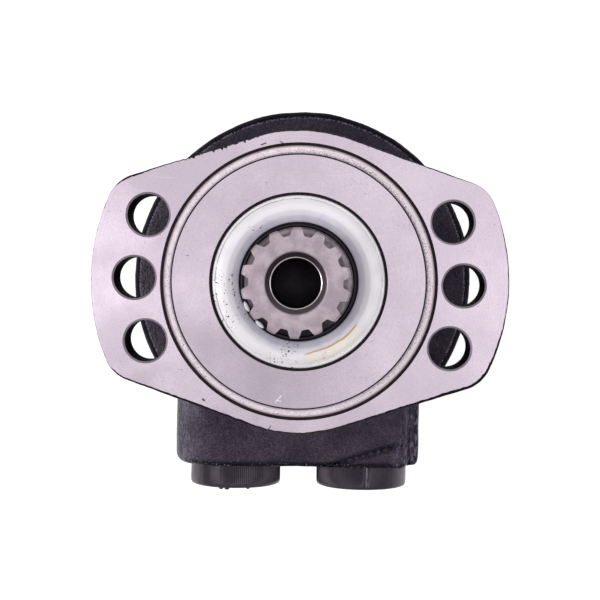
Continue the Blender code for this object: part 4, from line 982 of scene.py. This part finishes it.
def face_tool():
    """What the lathe takes away: the flange's face, the relief groove, round the pilot, and the bores."""
    above = FACE + 20.0 * mm
    profile = [
        (0.0, above),
        (85.0 * mm, above),
        (85.0 * mm, FACE),
        (RELIEF_R, FACE),
        (RELIEF_R - 0.8 * mm, FACE - 2.0 * mm),
        (PILOT_R + 0.15 * mm, FACE - 2.0 * mm),
        (PILOT_R, FACE - 1.7 * mm),
        (PILOT_R, PILOT_TOP - 0.75 * mm),
        (PILOT_R - 0.45 * mm, PILOT_TOP - 0.3 * mm),
        (PILOT_R - 0.95 * mm, PILOT_TOP),
    ]
    profile += rising(PILOT_TOP, [(28.45, 0.0), (27.75, -0.7)])
    profile += rising(FACE, [(27.75, -1.2), (22.0, -1.2), (22.0, -21.2), (24.0, -21.2), (24.0, -29.2)])
    profile += rising(FACE, [(29.0, -29.2), (29.0, -62.0), (33.0, -62.0)])
    profile += rising(HOUSING_LOW, [(33.0, -1.0), (0.0, -1.0)])
    return turned("face_tool", profile, [MACHINED, SHADE_DARK_STEEL, BAND, PILOT_EDGE_SHADE], 240, slot=lathe_finish)


def mount_hole_tools():
    """Six drilled holes: bare chamfer at the face, enamelled wall in near-black for painted shade."""
    profile = [
        (0.0, 1.0 * mm),
        (MOUNT_HOLE_R + 1.6 * mm, 1.0 * mm),
        (MOUNT_HOLE_R, -0.6 * mm),
        (MOUNT_HOLE_R, -FLANGE_T - 5.0 * mm),
        (0.0, -FLANGE_T - 5.0 * mm),
    ]
    slot = lambda radius, z: 0 if z > -0.3 * mm else 1
    centres = [polar(MOUNT_CIRCLE_R, angle, FACE) for angle in MOUNT_ANGLES]
    return drilled("mount_hole_tools", profile, [CHAMFER, HOLE_WALL_SHADE], centres, 64, slot)


def port_tools():
    """Both ports: spot-faced seat, threaded wall as fine rings, and the passage inwards."""
    reach = -PORT_FACE_Y
    profile = rising(reach, [(0.0, 4.0), (16.6, 4.0), (16.6, -0.8), (12.4, -0.8), (12.4, -2.6)])
    rings, z = thread_rings(10.4 * mm, 11.1 * mm, reach - 2.6 * mm, reach - 16.0 * mm, PORT_PITCH)
    profile += [*rings, (10.4 * mm, z), (5.5 * mm, z - 3.0 * mm)]
    tools = []
    for x, inner in ((-PORT_X, 30.5 * mm), (PORT_X, 33.5 * mm)):
        place = BLOCK_TURN @ Matrix.Translation((x, 0.0, PORT_Z)) @ Matrix.Rotation(math.pi / 2, 4, "X")
        tools.append(turned("port", profile + [(5.5 * mm, inner), (0.0, inner)], [MACHINED], 64, place))
    across, beyond = 60.0 * mm, PORT_FACE_Y - 12.0 * mm
    corners = ((-across, PORT_FACE_Y), (-across, beyond), (across, beyond), (across, PORT_FACE_Y))
    facing = prism("port_facing", corners, BLOCK_REAR - 5.0 * mm, BLOCK_FRONT + 5.0 * mm, [PAINT], BLOCK_TURN)
    return [facing, merged("port_tools", tools)]


def rear_tools():
    """The flat rear face, with the tapped holes of the clamp bolts and a gallery."""
    flat = rising(HOUSING_LOW, [(0.0, 0.0), (85.0, 0.0), (85.0, -12.0), (0.0, -12.0)])
    hole = rising(0.0, [(0.0, 13.5), (5.0, 13.0), (5.0, -3.0), (0.0, -3.0)])
    gallery = rising(PORT_Z - HOUSING_LOW, [(0.0, 0.0), (3.6, 0.0)]) + rising(0.0, [(3.6, -3.0), (0.0, -3.0)])
    gallery_at = polar(39.8 * mm, math.pi / 2 + FULL_TURN * 4 / BOLT_COUNT, HOUSING_LOW)
    centres = [centre + Vector((0.0, 0.0, HOUSING_LOW)) for centre in BOLT_CENTRES]
    holes = drilled("tapped", hole, [MACHINED], centres)
    passage = drilled("gallery", gallery, [MACHINED], [gallery_at])
    return [turned("rear_tool", flat, [MACHINED], 144), merged("rear_holes", [holes, passage])]


def make_housing():
    body = casting()
    carve(body, [face_tool(), mount_hole_tools(), *port_tools(), *rear_tools()])
    settle(body, "housing", slot="black_painted_iron")


make_housing()


# ---------------- dust seal


def make_dust_seal():
    case = rising(FACE, [
        (27.5, -0.9), (27.65, 5.0), (27.4, 5.25), (26.7, 5.35), (26.55, 5.28), (26.4, 5.38), (24.8, 5.75),
        (23.0, 5.9), (21.2, 5.65), (19.8, 5.2), (19.1, 4.9), (19.1, 3.9), (26.7, 3.9), (26.7, -0.9),
    ])
    ring = turned("dust_seal_ring", soften(case, 0.25 * mm), [ZINC], 192)
    settle(ring, "dust_seal_case", slot="zinc_plate")
    lip = rising(FACE, [
        (26.4, 3.6), (26.4, -0.6), (19.8, -0.6), (17.65, 1.0), (17.65, 1.6), (18.25, 2.6), (17.65, 4.4),
        (17.95, 4.9), (18.75, 4.3), (18.75, 3.6),
    ])
    wiper = turned("dust_seal_wiper", soften(lip, 0.25 * mm), [LIP], 144)
    # Two white dabs on the lip: painted glints
    ball = [(math.cos(turn), math.sin(turn)) for turn in (1.2, 0.8, 0.4, 0.0, -0.4, -0.8, -1.2)]
    for angle in (math.radians(207), math.radians(229)):
        at = Matrix.Translation(polar(18.38 * mm, angle, FACE + 4.85 * mm)) @ Matrix.Rotation(angle, 4, "Z")
        size = Matrix.Diagonal((0.66 * mm, 1.75 * mm, 0.45 * mm, 1.0))
        carve(wiper, [turned("painted_glint", [(0.0, 1.0), *ball, (0.0, -1.0)], [GLINT_WHITE], 20, at @ size)], "UNION")
    settle(wiper, "dust_seal_lip", slot="seal_rubber")


make_dust_seal()


# ---------------- shaft

TEETH = 14
SOCKET_TEETH = 10
# Clearance to the link's teeth in millimetres, less what their taper gives over 0.6 mm of radius
SOCKET_WIDENING = 0.3 - 0.8 / 2.6 * 0.6


def spline_gap():
    """One gap between two teeth, as (radius, half width) up one slightly curved flank and down the other."""
    root_r, tip_r = 13.5 * mm, 15.6 * mm
    root_half, tip_half = 1.1 * mm, 2.42 * mm
    flank_steps = 5
    side = []
    for i in range(flank_steps + 1):
        t = i / flank_steps
        half = root_half + (tip_half - root_half) * (0.8 * t + 0.2 * t * t)
        side.append((root_r + (tip_r - root_r) * t, half))
    side.append((tip_r + 1.0 * mm, tip_half + 0.7 * mm))
    floor = [(root_r - 0.15 * mm, 0.6 * mm)]
    upper = floor + side
    return upper + [(radius, -half) for radius, half in reversed(upper)]


def make_shaft():
    bell_front, bell_rear = FACE - 33.9 * mm, FACE - 69.6 * mm
    profile = rising(SHAFT_TOP, [
        (0.0, -29.0), (7.15, -26.0), (7.15, -1.72), (7.45, -1.62), (8.7, -0.2),
        (9.1, 0.0), (15.15, 0.0), (15.6, -0.45),
    ])
    profile += rising(FACE, [(15.6, 6.2), (16.9, 6.2), (17.45, 5.7)])
    profile += rising(bell_front, [(17.45, 0.0), (23.5, 0.0), (24.0, -0.5)])
    profile += rising(bell_rear, [(24.0, 0.8), (23.2, 0.0), (17.4, 0.0), (16.2, 1.2), (11.5, 1.2)])
    profile += rising(FACE, [(11.5, -44.0), (0.0, -42.0)])

    def finish(radius, z):
        """0 ground, 1 the bore, near-black for painted shade, 2 its chamfer, 3 the bright edge between them."""
        if radius > 8.75 * mm or z < SHAFT_TOP - 40.0 * mm:
            return 0
        if radius > 7.44 * mm:
            return 2
        return 3 if radius > 7.17 * mm and z > SHAFT_TOP - 2.0 * mm else 1

    materials = [SHAFT, SHADE_DARK_STEEL, BORE_CHAMFER, BORE_EDGE]
    shaft = turned("output_shaft_steel", soften(profile, 0.1 * mm, 2), materials, 224, slot=finish)
    gaps = []
    for i in range(TEETH):
        turn = Matrix.Rotation(math.pi / 2 + FULL_TURN * (i + 0.5) / TEETH, 4, "Z")
        gaps.append(prism("gap", spline_gap(), FACE + 13.0 * mm, SHAFT_TOP + 1.0 * mm, [SHAFT], turn))
    socket = []
    root, tip = 2.3 + SOCKET_WIDENING, 1.5 + SOCKET_WIDENING
    for i in range(SOCKET_TEETH):
        for radius, half in ((13.0, -root), (15.6, -tip), (15.6, tip), (13.0, root)):
            angle = FULL_TURN * i / SOCKET_TEETH + math.asin(half / radius)
            socket.append(polar(radius * mm, angle).to_2d())
    cavity = prism("socket", socket, bell_rear - 1.0 * mm, FACE - 50.0 * mm, [SHAFT])
    carve(shaft, [merged("gaps", gaps), cavity])
    settle(shaft, "coupling_shaft", slot="shaft_steel")


make_shaft()


# ---------------- rear stack

ROLLERS = 7


def bolt_clearance(low, high):
    profile = rising(high, [(0.0, 1.0), (5.2, 1.0)]) + rising(low, [(5.2, -1.0), (0.0, -1.0)])
    return drilled("clearance_tools", profile, [GROUND], BOLT_CENTRES)


def ring_section(node, inner_r):
    """A round plate of the stack: painted rim with broken edges, ground faces."""

    def ripple(angle, radius, z):
        if radius < 60 * mm:
            return radius
        return radius + 0.04 * mm * noise.noise(polar(8, angle, z * 300))

    low, high = (corner[2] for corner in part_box(node))
    edge = 0.35 * mm
    upper = [(inner_r, high), (BODY_R - edge, high), (BODY_R, high - edge)]
    lower = [(BODY_R, low + edge), (BODY_R - edge, low), (inner_r, low)]
    slot = lambda radius, z: 0 if radius > BODY_R - edge else 1
    plate = turned(node + "_disc", upper + lower, [SMOOTH_PAINT, GROUND], 192, wave=ripple, slot=slot)
    carve(plate, [bolt_clearance(low, high)])
    return plate


def pocket_tool(node):
    """The gear set's bore: seven roller pockets joined by short lands."""
    low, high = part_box(node)[0][2] - 1 * mm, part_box(node)[1][2] + 1 * mm
    pocket_r, circle_r, bore_r = 7.8 * mm, 36.0 * mm, 34.8 * mm
    opening = math.acos((bore_r**2 - circle_r**2 - pocket_r**2) / (2 * circle_r * pocket_r))
    lip = math.atan2(pocket_r * math.sin(opening), circle_r + pocket_r * math.cos(opening))
    outline = []
    for i in range(ROLLERS):
        angle = -math.pi / 2 + FULL_TURN * i / ROLLERS
        outline += arc(polar(circle_r, angle).to_2d(), pocket_r, angle - opening, angle + opening, 28)
        outline += arc((0, 0), bore_r, angle + lip, angle + FULL_TURN / ROLLERS - lip, 8)[1:-1]
    return prism("pockets", outline, low, high, [GROUND])


def make_stack():
    inner = {"wear_plate": 14.5, "stator": 20.0, "manifold": 12.6, "commutator_ring": 29.6}
    for node, inner_r in inner.items():
        plate = ring_section(node, inner_r * mm)
        if node == "stator":
            carve(plate, [pocket_tool(node)])
        settle(plate, node, slot="black_painted_steel")


def make_end_cover():
    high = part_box("end_cover")[1][2]
    profile = rising(high, [(0.0, -2.0), (9.0, -2.0), (9.0, 0.0)])
    profile += [(BODY_R, high), (BODY_R, 2.1 * mm), (BODY_R - 1.6 * mm, 0.5 * mm)]
    profile += rising(0.0, [(45.0, 0.5), (44.5, 0.0), (0.0, 0.0)])
    cover = turned("end_cover_disc", soften(profile, 0.5 * mm), [SMOOTH_PAINT], 192)
    carve(cover, [bolt_clearance(0.0, high)])
    settle(cover, "end_cover", slot="black_painted_iron")


def make_bolt(number, centre):
    """Hex head with a chamfered crown and a washer face; a thread on the last stretch."""
    low, tip = (corner[2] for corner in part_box(f"cover_bolt_{number}"))
    under = 0.2 * mm  # height of the head's underside
    shank = 4.7 * mm
    rings, z = thread_rings(shank, shank - 0.7 * mm, tip - 0.8 * mm, tip - 22.0 * mm, 1.5 * mm)
    profile = [(0.0, tip), (shank - 1.0 * mm, tip), *rings]
    profile += [(shank - 0.2 * mm, z), (shank - 0.2 * mm, under)]
    profile += rising(under, [(8.0, 0.0), (8.0, -1.0), (0.0, -1.0)])
    stem = turned(f"clamp_bolt_{number}", profile, [BOLT_BLACK], 48)
    crown = rising(under, [(0.0, -0.9), (8.6, -0.9)])
    crown += rising(low, [(8.6, 0.9), (7.0, 0.0), (5.2, 0.0), (4.8, 0.35), (0.0, 0.35)])
    head = turned(f"clamp_head_{number}", crown, [BOLT_BLACK], 96)
    carve(head, [prism("hexagon", hexagon(8.2 * mm), low - 2 * mm, under, [BOLT_BLACK])], "INTERSECT")
    carve(stem, [head], "UNION")
    stem.data.transform(Matrix.Translation(centre))
    settle(stem, f"cover_bolt_{number}", slot="black_bolt_steel")


make_stack()
make_end_cover()
for number, centre in enumerate(BOLT_CENTRES, start=1):
    make_bolt(number, centre)


# ---------------- port plugs


def make_plug(side, x, bare, nick=None, drips=()):
    """A moulded plug: knurled rim with a rubbed stretch, hex socket, threaded shank and its O-ring.

    bare and nick are the directions in degrees of that stretch and of a gouge across the rim; drips are
    lumps of moulding flash at its outer edge, by direction and size in millimetres.
    """
    head_t = 8.7 * mm
    head_r = 16.0 * mm
    knurl_depth = 0.26 * mm
    bare = math.radians(bare)
    ridges = 144

    def knurl(angle, radius, z):
        if radius < head_r - 0.6 * mm or z > -0.5 * mm or z < -head_t + 1.0 * mm:
            return radius
        rubbed = 0.5 + 0.5 * math.cos(angle - bare)
        depth = knurl_depth * (1.0 - min(1.0, max(0.0, rubbed - 0.80) / 0.08))
        ripple = 0.10 * mm * noise.noise((angle * 9, z * 500, bare)) * (1.0 - depth / knurl_depth)
        radius += ripple - depth * (0.5 + 0.5 * math.cos(ridges * angle))
        if nick is not None:
            off_nick = math.remainder(angle - math.radians(nick), FULL_TURN) * head_r
            for middle, height in ((0.0, -0.4 * mm), (-0.9 * mm, 0.4 * mm)):
                radius += height * math.exp(-(((off_nick - middle) / (0.45 * mm)) ** 2))
        return radius

    rings, z = thread_rings(9.3 * mm, 8.5 * mm, 12.4 * mm, 2.6 * mm, PORT_PITCH)
    profile = rising(0.0, [(0.0, 13.5), (8.3, 13.5)]) + rings
    profile += [(9.2 * mm, z), (9.2 * mm, 0.0), (head_r - 0.5 * mm, 0.0), (head_r, -0.45 * mm)]
    profile += [(head_r, -head_t * share) for share in (0.08, 0.3, 0.55, 0.8)]
    profile += [(head_r - 0.06 * mm, -head_t + 0.8 * mm), (head_r - 0.3 * mm, -head_t + 0.25 * mm)]
    profile += [(head_r - 0.85 * mm, -head_t), (0.0, -head_t)]
    plug = turned(f"plug_{side}_moulding", profile, [PLASTIC], ridges * 4, wave=knurl)
    carve(plug, [prism("plug_hex", hexagon(6.9 * mm), -10.0 * mm, -1.0 * mm, [PLASTIC])])
    for angle, size in drips:
        ball = [(size * math.cos(turn), 0.9 * size * math.sin(turn)) for turn in (0.9, 0.4, 0.0, -0.4, -0.9)]
        blob = rising(0.0, [(0.0, 0.9 * size), *ball, (0.0, -0.9 * size)])
        at = Matrix.Translation(polar(head_r - 0.9 * mm, math.radians(angle), 0.25 * mm - head_t))
        carve(plug, [turned("drip", blob, [PLASTIC], 16, at)], "UNION")
    place = BLOCK_TURN @ Matrix.Translation((x, PLUG_SEAT_Y, PORT_Z)) @ Matrix.Rotation(-math.pi / 2, 4, "X")
    plug.data.transform(place)
    settle(plug, f"port_plug_{side}", slot="black_plastic")
    ring = arc((10.75 * mm, 1.75 * mm), 1.25 * mm, 0.0, -FULL_TURN * 19 / 20, 19)
    o_ring = turned(f"plug_{side}_seal", ring, [RUBBER], 96, place)
    settle(o_ring, f"port_plug_o_ring_{side}", slot="seal_rubber")


make_plug("left", -PORT_X, bare=-152, drips=((-106, 0.9), (-98, 1.0), (-70, 0.75)))
make_plug("right", PORT_X, bare=-38, nick=-83)


# ---------------- pieces kept from the frame

KEPT = [
    (GROUND, ["rotor", "commutator"] + [f"roller_{i + 1}" for i in range(ROLLERS)]),
    (FORGED, ["drive_link"]),
    (BEARING, [
        "backup_washer", "thrust_washer", "thrust_bearing", "outer_bearing_cup",
        "outer_bearing_needles", "inner_bearing_cup", "inner_bearing_needles",
    ]),
    (RUBBER, ["shaft_seal"] + [f"section_seal_{i}" for i in range(1, 6)]),
    (PTFE, ["commutator_seal"]),
]
for material, nodes in KEPT:
    for node in nodes:
        slots = frame["nodes"][node].data.materials
        slots.clear()
        slots.append(material)


# ---------------- stage, light and camera


def make_floor():
    mesh = bpy.data.meshes.new("floor")
    half = 3.0
    corners = [(x * half, y * half, CAD_BOX[0][2]) for x, y in ((-1, -1), (1, -1), (1, 1), (-1, 1))]
    mesh.from_pydata(corners, [], [(0, 1, 2, 3)])
    grey, white = (0.8, 0.8, 0.8), (1.0, 1.0, 1.0)
    material = start("floor_white")[0]
    shaded(material, Base_Color=grey, Roughness=0.9, Emission_Color=white, Emission_Strength=0.62)
    mesh.materials.append(material)
    floor = placed("floor", mesh)


def add_light(name, place, size, watts):
    """A soft light turned to the middle of the mounting face."""
    light = bpy.data.lights.new(name, "AREA")
    light.shape = "RECTANGLE"
    light.size, light.size_y = size
    light.energy = watts
    light.color = (1.0, 0.955, 1.0)
    obj = placed(name, light)
    obj.location = place
    obj.rotation_euler = (Vector(place) - Vector((0.0, 0.0, FACE))).to_track_quat("Z", "Y").to_euler()


def make_light():
    world = bpy.data.worlds.new("studio")
    world.use_nodes = True
    background = world.node_tree.nodes["Background"]
    background.inputs["Color"].default_value = (1.0, 0.97, 1.0, 1.0)
    background.inputs["Strength"].default_value = 0.5
    bpy.context.scene.world = world
    add_light("overhead", (0.19, 0.13, 1.6), (1.4, 0.8), 3.3)
    add_light("right_soft", (0.85, 0.05, 1.25), (0.5, 1.2), 1.3)
    add_light("left_soft", (-0.85, -0.06, 1.2), (0.5, 1.0), 5.2)


def make_camera():
    """Looks down the shaft from 430 mm in front of the flange, a little off the axis."""
    roll = math.radians(1.47)
    aim = Vector((-0.0142, -0.0217, -1.0))
    spot = Vector((6.5 * mm, 3.42 * mm, 0.0))
    turn = Matrix.Rotation(roll, 3, "Z")
    aim, spot = turn @ aim, turn @ spot
    back = -aim.normalized()
    right = (turn @ Vector((0.0, 1.0, 0.0))).cross(back).normalized()
    up = back.cross(right)
    data = bpy.data.cameras.new("camera")
    data.sensor_width = 36.0
    data.lens = 80.04
    data.clip_start = 0.02
    data.clip_end = 20.0
    camera = placed("camera", data)
    spot.z = FACE + 430.0 * mm
    camera.matrix_world = Matrix.Translation(spot) @ Matrix((right, up, back)).transposed().to_4x4()
    bpy.context.scene.camera = camera


make_floor()
make_light()
make_camera()
bpy.context.scene.view_settings.view_transform = "Standard"
